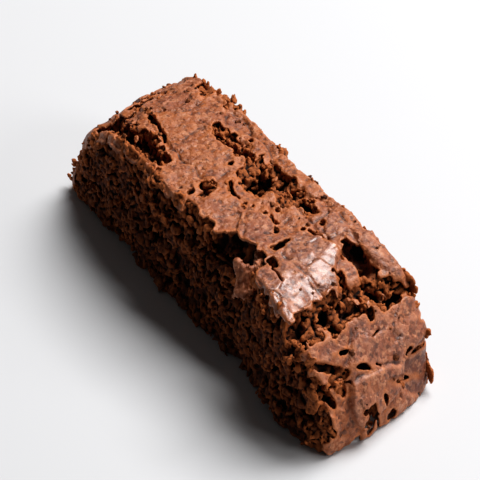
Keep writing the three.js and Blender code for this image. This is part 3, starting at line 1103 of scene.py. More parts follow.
    def _stirred_band(self, band: tuple[Array, ...], reach: float, spacing: float, seed: int) -> Array:
        """Some of the grid's points, moved about a little.

        Args:
            band: Which points are taken.
            reach: How far they are moved.
            spacing: How far apart points lie that are moved differently.
            seed: Which field they are moved by.

        Returns:
            The moved points.
        """
        grid = self.grid
        points = np.stack([grid.low[axis] + grid.step * band[axis] for axis in range(3)], -1)
        points = points.astype(np.float32)
        for axis in range(3):
            points[:, axis] += reach * grid.clouds(spacing, seed + axis)[band]
        return points

    def _grained(self, body: Array, amount: Array, inland: Array) -> Array:
        """Breaks the crumb's surface up into grains, with gaps between them.

        Args:
            body: The crumb's field.
            amount: Where the crumb lies open, from 0 to 1.
            inland: Where the cut faces are far, from 0 to 1: toasted crumb is finer than cut crumb.

        Returns:
            The field with its grains.
        """
        grid, relief = self.grid, self.relief
        band = np.nonzero((np.abs(body) < 2.8) & (amount > 0.08))
        points = self._stirred_band(band, *self.stir, Seed.STIR)
        cut = 1 - inland[band]
        carve = (0.35 + 0.7 * cut) * grid.clouds(3.4, Seed.CARVED, (1.6, 1, 1))[band]
        carve += 0.9 * cut * grid.clouds(6.5, Seed.UNDULATION, (1.8, 1, 0.8))[band]
        loose = grid.clouds(5.0, Seed.LOOSE, (1.5, 1, 1))[band]
        shares = cut * (1 + 0.7 * loose), 1 - 0.55 * loose, 1 + 0.3 * loose
        for number, (spacing, height, jut) in enumerate(relief.grains):
            grain, tint = grid.granules(points, spacing, Seed.GRAINS + number)
            carve += (height * (grain - 0.3) + jut * (tint - 0.5)) * shares[number]
        low = points[:, 2]
        carve *= 0.45 + 0.55 * smoothstep(low, 0.3, 2.5)
        grained = body.copy()
        grained[band] += amount[band] * carve
        return grained

    def _eat(self, body: Array, middle: Array, half_sizes: Array, ragged: Array, soft: float) -> None:
        """Takes one ragged stretched ball out of a field.

        Args:
            body: The field, which is changed.
            middle: The ball's middle.
            half_sizes: Its reach along each axis.
            ragged: How uneven its wall is, over the whole grid.
            soft: How much its rim is rounded.
        """
        step, low = self.grid.step, np.array(self.grid.low)
        middle, half_sizes = np.array(middle), np.array(half_sizes)
        radius = half_sizes.min()
        first = np.maximum(((middle - 1.5 * half_sizes - low) / step).astype(int) - 2, 0)
        last = np.minimum(((middle + 1.5 * half_sizes - low) / step).astype(int) + 3, body.shape)
        window = tuple(slice(a, b) for a, b in zip(first, last))
        axes = [low[axis] + step * np.arange(first[axis], last[axis]) for axis in range(3)]
        gaps = [(axes[axis] - middle[axis]) * radius / half_sizes[axis] for axis in range(3)]
        dx, dy, dz = np.meshgrid(*gaps, indexing="ij", sparse=True)
        ball = radius * (1 + ragged[window]) - np.sqrt(dx * dx + dy * dy + dz * dz)
        body[window] = smooth_max(body[window], ball, soft)

    def _pored(self, body: Array, amount: Array, pores: tuple[int, float, float], seed: int) -> Array:
        """Opens ragged pores of many sizes near the surface of the crumb.

        Args:
            body: The crumb's field.
            amount: Where the crumb lies open, from 0 to 1.
            pores: How many pores are tried, and their least and greatest radius.
            seed: Which scatter is taken.

        Returns:
            The field with its pores.
        """
        random = np.random.default_rng(seed)
        body = body.copy()
        low, shape = np.array(self.grid.low), np.array(self.grid.shape)
        ragged = 0.35 * self.grid.clouds(0.8, Seed.RAGGED) + 0.3 * self.grid.clouds(1.7, Seed.COARSE_RAGGED)
        count, least, most = pores
        spots = random.uniform(low, np.array(self.grid.high), (count, 3))
        radii = least + (most - least) * random.random(count) ** 2.5
        stretch = random.uniform((0.9, 0.7, 0.5), (3.0, 1.2, 1.1), (count, 3))
        for spot, radius, scale in zip(spots, radii, stretch):
            at = np.round((spot - low) / self.grid.step).astype(int)
            if (at < 0).any() or (at >= shape).any() or spot[2] < 0.4:
                continue
            if -1.1 * radius < body[tuple(at)] < 0.5 and amount[tuple(at)] > 0.5:
                self._eat(body, spot, radius * scale, ragged, self.relief.pore_rim)
        return body

    def crust(self) -> Array:
        """The crust: a thin shell where the plates lie, torn off at their edges."""
        relief, grid = self.relief, self.grid
        top = self.over_crust(self.map.top)
        edge = self.over_crust(self.map.edge)
        thick = relief.crust_thickness * (0.6 + 0.4 * smoothstep(edge, 0.0, 1.0))
        depth = self.out[:, None, :] - top
        rough = grid.clouds(0.8, Seed.CRUST_ROUGH)
        dull = 1 - 0.75 * smoothstep(self.over_crust(self.map.gloss), 0.25, 0.6)
        dull += 0.5 * (1 - smoothstep(edge, 0.1, 0.9))
        band = np.nonzero(np.abs(depth) < 1.5)
        points = self._stirred_band(band, *self.crust_stir, Seed.CRUST_STIR)
        for number, (spacing, height, jut) in enumerate(relief.crust_grains):
            grain, tint = grid.granules(points, spacing, Seed.CRUST_GRAINS + number)
            depth[band] += dull[band] * (height * (grain - 0.3) + jut * (tint - 0.5))
            edge[band] -= 0.7 * height * (grain - 0.3)
        layer = np.maximum(depth, -(depth + thick * (1 + 0.35 * rough)))
        shell = smooth_max(layer, -edge, 0.08)
        level_across = (1, 99, 1)
        ragged = 0.5 * grid.clouds(2.4, Seed.OVERHANG, level_across)
        ragged = ragged + 0.4 * grid.clouds(0.9, Seed.FINE_OVERHANG, level_across)
        ragged = np.minimum(relief.overhang + ragged, relief.overhang_most)
        share, first, last = relief.overhang_fade
        ragged = ragged * (1 - share * smoothstep(np.abs(self.x), first, last))
        shell = smooth_max(shell, self.faces(0.25, ragged), 0.2)
        shell = np.maximum(shell + 0.05 * rough, np.abs(self.y) - relief.widest)
        return np.maximum(shell, 0.12 - self.z).astype(np.float32)


@dataclass
class MeshPiece:
    """A piece of the slice: carves a mesh from a field, thins it and stores what its finish reads."""

    name: str = ""
    limit: int = 190_000
    lengths: int = 1
    seed: int = Seed.CRUMB_JOINS
    tuck: float = 0.5
    step_down: float = 0.07
    inset: float = 2.0
    spare: float = 3.0
    wander: Pair = (3.0, 1.2)
    crease: float = 0.4

    def carve(self, grid: Grid, values: Array, first: int = 0) -> Piece:
        """Turns a field into a mesh object of closed surfaces, in millimetres and upright.

        Args:
            grid: The grid that the field lies on.
            values: The field to take the zero surface of.
            first: Where along X in the grid the field begins.

        Returns:
            The new object.
        """
        volume = openvdb.FloatGrid(1.0)
        volume.copyFromArray(np.clip(values, -1.0, 1.0).astype(np.float32))
        points, _, quads = volume.convertToPolygons(isovalue=0.0, adaptivity=0.0)
        points = points * grid.step + np.array(grid.low) + np.array([first * grid.step, 0, 0])
        quads = self._whole_parts(len(points), quads.astype(np.int64))
        used, faces = np.unique(quads, return_inverse=True)
        faces = faces.reshape(-1, 4)
        points = points[used]
        a, b, c, d = (points[faces[:, i]] for i in range(4))
        if np.einsum("ij,ij->i", a, np.cross(b, c) + np.cross(c, d)).sum() < 0:
            faces = faces[:, ::-1]
        mesh = bpy.data.meshes.new(self.name)
        mesh.from_pydata(points.tolist(), [], faces.tolist())
        mesh.update()
        piece = bpy.data.objects.new(self.name, mesh)
        bpy.context.collection.objects.link(piece)
        return piece

    def _whole_parts(self, count: int, quads: Array) -> Array:
        """Drops the loose specks and sealed hollows from a set of faces.

        Args:
            count: How many vertices there are.
            quads: The faces.

        Returns:
            The faces of the parts that are kept.
        """
        ends = np.concatenate([quads[:, [i, (i + 1) % 4]] for i in range(4)])
        label = np.arange(count)
        while True:
            least = np.minimum(label[ends[:, 0]], label[ends[:, 1]])
            fresh = label.copy()
            np.minimum.at(fresh, ends[:, 0], least)
            np.minimum.at(fresh, ends[:, 1], least)
            fresh = fresh[fresh]
            if (fresh == label).all():
                break
            label = fresh
        kept = self.kept_parts(np.bincount(label, minlength=count))
        return quads[kept[label[quads[:, 0]]]]

    def kept_parts(self, sizes: Array) -> Array:
        """Which parts are kept, told by how many vertices each has."""
        return sizes == sizes.max()

    def thin(self, piece: Piece) -> None:
        """Brings the piece under its limit of triangles, keeping the detail where it bends most.

        Args:
            piece: The carved piece.
        """
        triangles = sum(len(face.vertices) - 2 for face in piece.data.polygons)
        LOG.info("%s: carved %d triangles", piece.name, triangles)
        if triangles <= self.limit:
            return
        bpy.ops.object.select_all(action="DESELECT")
        bpy.context.view_layer.objects.active = piece
        piece.select_set(True)
        modifier = piece.modifiers.new("Thin", "DECIMATE")
        modifier.ratio = self.limit / triangles
        bpy.ops.object.modifier_apply(modifier=modifier.name)

    def store(self, piece: Piece, name: str, values: Array) -> None:
        """Stores one number for each vertex under a name."""
        attribute = piece.data.attributes.new(name, "FLOAT", "POINT")
        attribute.data.foreach_set("value", np.asarray(values, np.float32))

    def keep(self, piece: Piece, grid: Grid, fields: dict[str, Array]) -> None:
        """Stores what some fields are at each vertex, under the fields' names."""
        points = self.points(piece)
        for name, values in fields.items():
            self.store(piece, name, grid.read(values, points))

    def points(self, piece: Piece) -> Array:
        """The piece's vertices as an array."""
        flat = np.zeros(len(piece.data.vertices) * 3, np.float32)
        piece.data.vertices.foreach_get("co", flat)
        return flat.reshape(-1, 3).astype(float)

    def carve_lengths(self, slice_field: SliceField, values: Array) -> list[Piece]:
        """Carves a field in a few lengths, each of which tucks a little way under the one before.

        Args:
            slice_field: The slice's fields.
            values: The field to carve.

        Returns:
            The lengths, thinned.
        """
        grid = slice_field.grid
        bounds = np.linspace(grid.low[0] + self.inset, grid.high[0] - self.inset, self.lengths + 1)
        wander = self.wander[1] * grid.clouds(self.wander[0], self.seed)
        pieces = []
        for number in range(self.lengths):
            low, high = bounds[number], bounds[number + 1]
            part = values
            if number > 0:
                away = low + wander - slice_field.x
                part = np.maximum(part, away - self.tuck)
                part = part + self.step_down * smoothstep(away, -self.tuck - 0.3, -self.tuck + 0.2)
            if number < self.lengths - 1:
                part = np.maximum(part, slice_field.x - high - wander)
            first = 0 if number == 0 else int((low - self.spare - grid.low[0]) / grid.step)
            last = int((high + self.spare - grid.low[0]) / grid.step) if number < self.lengths - 1 else None
            piece = self.carve(grid, part[first:last], first)
            self.thin(piece)
            pieces.append(piece)
        return pieces

    def settle(self, piece: Piece, loaf: Loaf, finish: "Finish") -> None:
        """Leans, centres and scales the piece to its place, and dresses it.

        Args:
            piece: The upright piece, in millimetres.
            loaf: The loaf that it is cut from.
            finish: What it is finished with.
        """
        placed = loaf.placed(self.points(piece))
        piece.data.vertices.foreach_set("co", placed.astype(np.float32).ravel())
        self.dress(piece, finish)

    def dress(self, piece: Piece, finish: "Finish") -> None:
        """Gives a placed piece its finish, and says what it stands for and rides on.

        Args:
            piece: The piece, in its place.
            finish: What it is finished with.
        """
        piece.data.polygons.foreach_set("use_smooth", [True] * len(piece.data.polygons))
        piece.data.update()
        piece.data.materials.append(finish.material())
        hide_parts("biscotto")
        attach(piece, "root")
        LOG.info("%s: %d triangles", piece.name, sum(len(f.vertices) - 2 for f in piece.data.polygons))


@dataclass
class Crumb(MeshPiece):
    """The open crumb of the slice, with the cut faces and the flat underside."""

    name: str = "crumb"
    lengths: int = 5
    # How far about each point the crumb is measured for how shut in it is, near and far; its finish paints
    # shade where it is shut in.
    near_gap: float = 0.6
    far_gap: float = 1.8
    baked: Pair = (-6, 2)

    def build(self, slice_field: SliceField, finish: "Finish") -> list[Piece]:
        """Carves the crumb and gives it its finish.

        Args:
            slice_field: The slice's fields.
            finish: What the crumb is finished with.

        Returns:
            The crumb's lengths.
        """
        grid = slice_field.grid
        values = slice_field.crumb()
        solid = np.clip(0.5 - values / grid.step, 0, 1)
        skin = slice_field.over_crust(slice_field.map.smooth)
        bake = slice_field.out[:, None, :] - slice_field.over_crust(slice_field.map.swell)
        # How shut in the crumb is at three reaches, then its smooth skin and toasted top; the finish paints
        # shade in the gaps and highlights on grain tops from the first three.
        fields = {
            "crease": grid.blurred(solid, self.crease),
            "shut": grid.blurred(grid.blurred(solid, self.near_gap), self.near_gap),
            "deep": grid.blurred(grid.blurred(solid, self.far_gap), self.far_gap),
            "skin": skin,
            "bake": np.clip(bake, *self.baked),
        }
        pieces = self.carve_lengths(slice_field, values)
        spacing = slice_field.relief.grains[1][0]
        for piece in pieces:
            stirred = slice_field.stirred(self.points(piece))
            tint = grid.granules(stirred, spacing, Seed.GRAINS + 1)[1]
            self.keep(piece, grid, fields)
            self.store(piece, "grain", tint)
            self.settle(piece, slice_field.loaf, finish)
        return pieces


@dataclass
class Crust(MeshPiece):
    """The crust of the slice: brittle plates over the top and both ends."""

    name: str = "crust"
    lengths: int = 3
    seed: int = Seed.CRUST_JOINS
    step_down: float = 0.06
    smallest: int = 60
    rim: Pair = (-1, 3)

    def kept_parts(self, sizes: Array) -> Array:
        """Plates that lie apart are kept too, down to a small size."""
        return sizes >= self.smallest

    def build(self, slice_field: SliceField, finish: "Finish") -> list[Piece]:
        """Carves the crust and gives it its finish.

        Args:
            slice_field: The slice's fields.
            finish: What the crust is finished with.

        Returns:
            The crust's lengths.
        """
        grid, crust_map = slice_field.grid, slice_field.map
        values = slice_field.crust()
        # How shut in the crust is; its finish paints shade in the creases and highlights on the raised points
        # from it.
        fields = {"crease": grid.blurred(np.clip(0.5 - values / grid.step, 0, 1), self.crease)}
        fields["depth"] = slice_field.out[:, None, :] - slice_field.over_crust(crust_map.top)
        fields["rim"] = np.clip(slice_field.over_crust(crust_map.rim), *self.rim)
        for name in ("tone", "gloss"):
            fields[name] = slice_field.over_crust(getattr(crust_map, name))
        pieces = self.carve_lengths(slice_field, values)
        for piece in pieces:
            self.keep(piece, grid, fields)
            self.settle(piece, slice_field.loaf, finish)
        return pieces


@dataclass
class CurledFlake(MeshPiece):
    """A leaf of crust that tore loose, rolled up and hangs over a cut face by its upper end."""

    name: str = "flake"
    middle: Triple = (15.9, -9.9, 17.6)
    radius: float = 2.7
    length: float = 6.0
    thickness: float = 0.7
    face: float = -115.0
    lean: float = 14.0
    turn: float = 12.0
    fray_in: Pair = (1.5, 0.9)
    fray_by: float = 1.1
    fray_past: float = 0.9
    lumpiness: tuple[Pair, ...] = ((2.0, 1.1), (0.8, 0.5))
    corners: int = 36
    cuts: int = 15
    open_at: float = 0.1
    open_towards: Triple = (0.25, 1, 0.12)

    def build(self, loaf: Loaf, finish: "Finish") -> Piece:
        """Rolls the leaf from an open tube and gives it its finish.

        Args:
            loaf: The loaf that it tore off.
            finish: What it is finished with.

        Returns:
            The leaf.
        """
        bpy.ops.object.select_all(action="DESELECT")
        bpy.ops.mesh.primitive_cylinder_add(
            vertices=self.corners, radius=self.radius, depth=self.length, end_fill_type="NOTHING")
        piece = bpy.context.object
        piece.name = self.name
        bpy.ops.object.mode_set(mode="EDIT")
        bpy.ops.mesh.select_all(action="SELECT")
        bpy.ops.mesh.bisect(
            plane_co=(0, self.open_at * self.radius, 0), plane_no=self.open_towards, clear_outer=True)
        bpy.ops.mesh.select_all(action="SELECT")
        bpy.ops.mesh.subdivide(number_cuts=self.cuts)
        bpy.ops.mesh.select_all(action="DESELECT")
        bpy.ops.object.mode_set(mode="OBJECT")
        self._fray(piece)
        self._finish_form(piece)
        for degrees, axis in ((self.face, "Z"), (self.lean, "X"), (self.turn, "Y")):
            bpy.ops.transform.rotate(
                value=math.radians(degrees), orient_axis=axis, center_override=(0, 0, 0))
        bpy.ops.transform.translate(value=self.middle)
        bpy.ops.object.transform_apply(location=True, rotation=True, scale=True)
        self.settle(piece, loaf, finish)
        return piece

    def _fray(self, piece: Piece) -> None:
        """Tears the leaf's outline, so that it isn't cut straight.

        Args:
            piece: The leaf, still as thin as paper.
        """
        half = self.length / 2
        for face in piece.data.polygons:
            x, y, z = face.center
            at_end = float(lumps(x * 0.8 + 3, y * 0.8 + z * 0.1, Layer.LEAF_END))
            at_side = float(lumps(z * 0.7, x * 0.3, Layer.LEAF_SIDE))
            near_end = abs(z) - half + self.fray_in[0] + self.fray_by * at_end
            near_side = y + self.fray_in[1] + self.fray_by * at_side
            face.select = max(near_end, near_side) > self.fray_past
        bpy.ops.object.mode_set(mode="EDIT")
        bpy.ops.mesh.delete(type="FACE")
        bpy.ops.object.mode_set(mode="OBJECT")

    def _finish_form(self, piece: Piece) -> None:
        """Gives the leaf its thickness and its lumps, by modifiers.

        Args:
            piece: The frayed leaf.
        """
        wall = piece.modifiers.new("Wall", "SOLIDIFY")
        wall.thickness, wall.offset = self.thickness, 0.0
        rounded = piece.modifiers.new("Rounded", "SUBSURF")
        rounded.levels = rounded.render_levels = 1
        for size, strength in self.lumpiness:
            texture = bpy.data.textures.new("lumps", "CLOUDS")
            texture.noise_scale = size
            lumpy = piece.modifiers.new("Lumpy", "DISPLACE")
            lumpy.texture, lumpy.strength, lumpy.mid_level = texture, strength, 0.5
        for modifier in list(piece.modifiers):
            bpy.ops.object.modifier_apply(modifier=modifier.name)


@dataclass
class LooseCrumbs(MeshPiece):
    """The crumbs that the knife left lying on the slice, and one that fell beside it."""

    name: str = "loose_crumbs"
    count: int = 420
    kinds: int = 5
    least: float = 0.18
    most: float = 0.46
    highest: float = 20.9
    lowest: float = 2.0
    widest: float = 12.7
    fallen: Triple = (-5.4, -11.7, 1.2)
    fallen_size: float = 1.1
    random_seed: int = 7
    squeeze: Pair = (0.7, 1.3)
    clear: float = 0.2
    knobbly: float = 0.42
    first_knobs: int = 3
    upward: float = 0.25

    def build(self, beds: list[Piece], finish: "Finish") -> Piece:
        """Models a few crumbs, and strews copies of them over the pieces they lie on.

        Args:
            beds: The placed pieces that the crumbs lie on.
            finish: What they are finished with.

        Returns:
            All the crumbs as one piece.
        """
        masters = [self._master(kind) for kind in range(self.kinds)]
        random = np.random.default_rng(self.random_seed)
        spots, slopes = self._spots(beds, random)
        points, faces, total = [], [], 0
        for number in range(len(spots) + 1):
            corners, sides = masters[number % self.kinds]
            size = (self.least + (self.most - self.least) * random.random() ** 2) * MM
            turn = Euler(random.uniform(0, 2 * math.pi, 3)).to_matrix()
            stretch = random.uniform(*self.squeeze, 3)
            if number < len(spots):
                middle = spots[number] + slopes[number] * size * self.clear
            else:
                middle, size = np.array(self.fallen) * MM, self.fallen_size * MM
            points.append((corners * stretch * size) @ np.array(turn).T + middle)
            faces.append(sides + total)
            total += len(corners)
        corners = np.concatenate(points)
        corners[:, 2] = np.maximum(corners[:, 2], 0)
        mesh = bpy.data.meshes.new(self.name)
        mesh.from_pydata(corners.tolist(), [], np.concatenate(faces).tolist())
        piece = bpy.data.objects.new(self.name, mesh)
        bpy.context.collection.objects.link(piece)
        self.dress(piece, finish)
        return piece

    def _master(self, kind: int) -> tuple[Array, Array]:
        """Models one crumb, a millimetre in radius.

        Args:
            kind: Which of the crumbs it is.

        Returns:
            The corners, in millimetres, and the corners of each face.
        """
        bpy.ops.object.select_all(action="DESELECT")
        bpy.ops.mesh.primitive_ico_sphere_add(subdivisions=2, radius=1.0)
        master = bpy.context.object
        bpy.ops.object.mode_set(mode="EDIT")
        bpy.ops.mesh.select_all(action="SELECT")
        bpy.ops.transform.vertex_random(
            offset=self.knobbly, uniform=0.6, normal=0.6, seed=kind + self.first_knobs)
        bpy.ops.object.mode_set(mode="OBJECT")
        corners = self.points(master)
        sides = np.array([list(face.vertices) for face in master.data.polygons])
        bpy.data.objects.remove(master, do_unlink=True)
        return corners, sides

    def _spots(self, beds: list[Piece], random: np.random.Generator) -> tuple[Array, Array]:
        """Picks the places where crumbs lie, more of them where the slice faces up.

        Args:
            beds: The pieces that the crumbs lie on.
            random: Where chance comes from.

        Returns:
            The places, and the way each faces.
        """
        spots, slopes = [], []
        for bed in beds:
            slope = np.zeros(len(bed.data.vertices) * 3, np.float32)
            bed.data.vertices.foreach_get("normal", slope)
            spots.append(self.points(bed))
            slopes.append(slope.reshape(-1, 3).astype(float))
        spots, slopes = np.concatenate(spots), np.concatenate(slopes)
        level = spots[:, 2] / MM
        held = (level > self.lowest) & (level < self.highest) & (np.abs(spots[:, 1]) < self.widest * MM)
        weight = np.clip(slopes[:, 2] + self.upward, 0, 1) * held
        chosen = random.choice(len(spots), self.count, replace=False, p=weight / weight.sum())
        return spots[chosen], slopes[chosen]


class Wiring:
    """A tree of nodes, and the ways in which nodes are added to it and joined."""

    tree: Tree

    def node(self, kind: str, **settings: object) -> Node:
        """Adds a node with some of its settings.

        Args:
            kind: The node's type.
            settings: The settings, by name.

        Returns:
            The node.
        """
        made = self.tree.nodes.new(kind)
        for key, value in settings.items():
            setattr(made, key, value)
        return made

    def feed(self, slot: Socket, value: Socket | tuple | float) -> None:
        """Joins an input to the output that feeds it, or gives it a number or a colour.

        Args:
            slot: The input.
            value: An output, a number, or a colour of three numbers.
        """
        if isinstance(value, Socket):
            self.tree.links.new(value, slot)
        elif isinstance(value, tuple):
            slot.default_value = (*value, 1.0)
        else:
            slot.default_value = value

    def maths(self, operation: str, a: Socket | float, b: Socket | float) -> Socket:
        """Works out one number from two.

        Args:
            operation: What is done.
            a: The first number.
            b: The second.

        Returns:
            The result.
        """
        made = self.node("ShaderNodeMath", operation=operation)
        for slot, value in zip(made.inputs, (a, b)):
            self.feed(slot, value)
        return made.outputs[0]

    def place(self) -> Socket:
        """Where each point of the surface lies."""
        return self.node("ShaderNodeTexCoord").outputs["Object"]

    def texture(self, kind: str, place: Socket, scale: Socket | float, **levels: float) -> Node:
        """Adds a texture.

        Args:
            kind: The texture's node.
            place: Where it is read.
            scale: Its swellings to a metre.
            levels: Its other numbers, by name.

        Returns:
            The node.
        """
        made = self.node(kind)
        for name, value in (("Vector", place), ("Scale", scale), *levels.items()):
            self.feed(made.inputs[name], value)
        return made

    def clouds(self, place: Socket, scale: Socket | float, detail: float, rough: float) -> Node:
        """Adds cloudy noise.

        Args:
            place: Where it is read.
            scale: Its swellings to a metre.
            detail: How many finer layers it has.
            rough: How strong they are.

        Returns:
            The node.
        """
        return self.texture("ShaderNodeTexNoise", place, scale, Detail=detail, Roughness=rough)


@dataclass
class GrainEffect(Wiring):
    """Baked grain, which the crumb and the crust share: a node group with a size and three results.

    Height is the grains' relief from 0 to 1, Tint a random number for each grain, and Speckle cloudy spots.
    """

    name: str = "baked grain"
    # How many times finer than the grains each layer is, and how much of it goes into the height.
    fine: Pair = (2.3, 0.28)
    dust: Pair = (3.1, 0.3)
    coarse_share: float = 0.5
    speckle_scale: float = 0.8
    stir: float = 1.2

    def group(self) -> Tree:
        """The node group, built when it is first asked for."""
        if self.name in bpy.data.node_groups:
            return bpy.data.node_groups[self.name]
        self.tree = bpy.data.node_groups.new(self.name, "ShaderNodeTree")
        face = self.tree.interface
        size = face.new_socket("Size", in_out="INPUT", socket_type="NodeSocketFloat")
        size.default_value = 1.0
        for name in ("Height", "Tint", "Speckle"):
            face.new_socket(name, in_out="OUTPUT", socket_type="NodeSocketFloat")
        given = self.node("NodeGroupInput").outputs["Size"]
        result = self.node("NodeGroupOutput")
        scale = self.maths("DIVIDE", 1.0 / MM, given)
        place = self._stirred(self.place(), scale)
        coarse, tint = self._cells(place, scale)
        fine, _ = self._cells(place, self.maths("MULTIPLY", scale, self.fine[0]))
        dust = self.clouds(place, self.maths("MULTIPLY", scale, self.dust[0]), 4.0, 0.7).outputs["Fac"]
        height = self.maths("MULTIPLY", coarse, self.coarse_share)
        height = self.maths("ADD", height, self.maths("MULTIPLY", fine, self.fine[1]))
        height = self.maths("ADD", height, self.maths("MULTIPLY", dust, self.dust[1]))
        scale = self.maths("MULTIPLY", scale, self.speckle_scale)
        speckle = self.clouds(place, scale, 3.0, 0.6).outputs["Fac"]
        for name, value in (("Height", height), ("Tint", tint), ("Speckle", speckle)):
            self.feed(result.inputs[name], value)
        return self.tree

    def _stirred(self, place: Socket, scale: Socket) -> Socket:
        """Places moved about by half a grain.

        Args:
            place: The places.
            scale: The grains to a metre.

        Returns:
            The moved places.
        """
        middle = self.node("ShaderNodeVectorMath", operation="SUBTRACT")
        middle.inputs[1].default_value = (0.5, 0.5, 0.5)
        self.feed(middle.inputs[0], self.clouds(place, scale, 1.0, 0.5).outputs["Color"])
        shrunk = self.node("ShaderNodeVectorMath", operation="SCALE")
        self.feed(shrunk.inputs[0], middle.outputs[0])
        self.feed(shrunk.inputs["Scale"], self.maths("DIVIDE", self.stir, scale))
        moved = self.node("ShaderNodeVectorMath")
        self.feed(moved.inputs[0], place)
        self.feed(moved.inputs[1], shrunk.outputs[0])
        return moved.outputs[0]

    def _cells(self, place: Socket, scale: Socket) -> tuple[Socket, Socket]:
        """Round grains: their height, and a random number for each.

        Args:
            place: Where they are read.
            scale: The grains to a metre.

        Returns:
            The height, and the random number.
        """
        made = self.texture("ShaderNodeTexVoronoi", place, scale)
        square = self.maths("POWER", made.outputs["Distance"], 2.0)
        split = self.node("ShaderNodeSeparateColor")
        self.feed(split.inputs[0], made.outputs["Color"])
        return self.maths("SUBTRACT", 1.0, square), split.outputs[0]


class Finish(Wiring):
    """A finish: builds its material from nodes."""

    name: str = ""

    def material(self) -> bpy.types.Material:
        """The finished material."""
        material = bpy.data.materials.new(self.name)
        material.use_nodes = True
        object.__setattr__(self, "tree", material.node_tree)
        object.__setattr__(self, "shader", material.node_tree.nodes["Principled BSDF"])
        self.paint()
        return material

    def paint(self) -> None:
        """Builds the material's nodes."""
        raise NotImplementedError

    def shade(self, name: str, value: Socket | tuple | float) -> None:
        """Gives one of the shader's inputs what feeds it, a number or a colour."""
        self.feed(self.shader.inputs[name], value)

    def stored(self, name: str) -> Socket:
        """The number stored for each vertex under a name."""
        return self.node("ShaderNodeAttribute", attribute_name=name).outputs["Fac"]

    def noise(self, size: float, detail: float = 3.0, rough: float = 0.55) -> Socket:
        """Cloudy noise from 0 to 1, with swellings of a size in millimetres."""
        return self.clouds(self.place(), 1.0 / (size * MM), detail, rough).outputs["Fac"]

    def cells(self, size: float) -> Socket:
        """Distances to scattered points, a size in millimetres apart, as a share of the size."""
        return self.texture("ShaderNodeTexVoronoi", self.place(), 1.0 / (size * MM)).outputs["Distance"]

    def ramp(self, source: Socket, low: float, high: float, start: float = 0.0, end: float = 1.0) -> Socket:
        """Maps a range of numbers to another, clamped and eased.

        Args:
            source: The numbers.
            low: Where the ramp begins.
            high: Where it ends.
            start: What it gives at low.
            end: What it gives at high.

        Returns:
            The mapped numbers.
        """
        made = self.node("ShaderNodeMapRange", interpolation_type="SMOOTHSTEP")
        for name, value in (("From Min", low), ("From Max", high), ("To Min", start), ("To Max", end)):
            made.inputs[name].default_value = value
        self.feed(made.inputs["Value"], source)
        return made.outputs["Result"]

    def grain(self, size: float) -> Node:
        """Places the baked grain effect, with grains of a size in millimetres."""
        made = self.node("ShaderNodeGroup", node_tree=GrainEffect().group())
        made.inputs["Size"].default_value = size
        return made

    def mix(self, share: Socket | float, a: Socket | tuple, b: Socket | tuple) -> Socket:
        """Mixes two colours.

        Args:
            share: How much of the second there is.
            a: The first colour.
            b: The second.

        Returns:
            The mixed colour.
        """
        made = self.node("ShaderNodeMix", data_type="RGBA")
        for slot, value in ((made.inputs[0], share), (made.inputs[6], a), (made.inputs[7], b)):
            self.feed(slot, value)
        return made.outputs[2]

    def wash(self, under: Socket | tuple, over: tuple, source: Socket, low: float, high: float,
             most: float = 1.0) -> Socket:
        """Lays one colour over another, the more the further a number is from low to high.

        Args:
            under: The colour beneath.
            over: The colour on top.
            source: The number.
            low: Where the colour on top begins to show.
            high: Where it shows most.
            most: How much of it shows there.

        Returns:
            The mixed colour.
        """
        return self.mix(self.ramp(source, low, high, 0.0, most), under, over)

    def bump(self, height: Socket, distance: float, strength: float = 1.0,
             under: Socket | None = None) -> Socket:
        """Raises fine relief from heights.

        Args:
            height: The heights, from 0 to 1.
            distance: How high 1 stands, in millimetres.
            strength: How strongly it shows.
            under: The relief that this one lies on.

        Returns:
            The normals.
        """
        made = self.node("ShaderNodeBump")
        made.inputs["Distance"].default_value = distance * MM
        made.inputs["Strength"].default_value = strength
        self.feed(made.inputs["Height"], height)
        if under is not None:
            self.feed(made.inputs["Normal"], under)
        return made.outputs["Normal"]


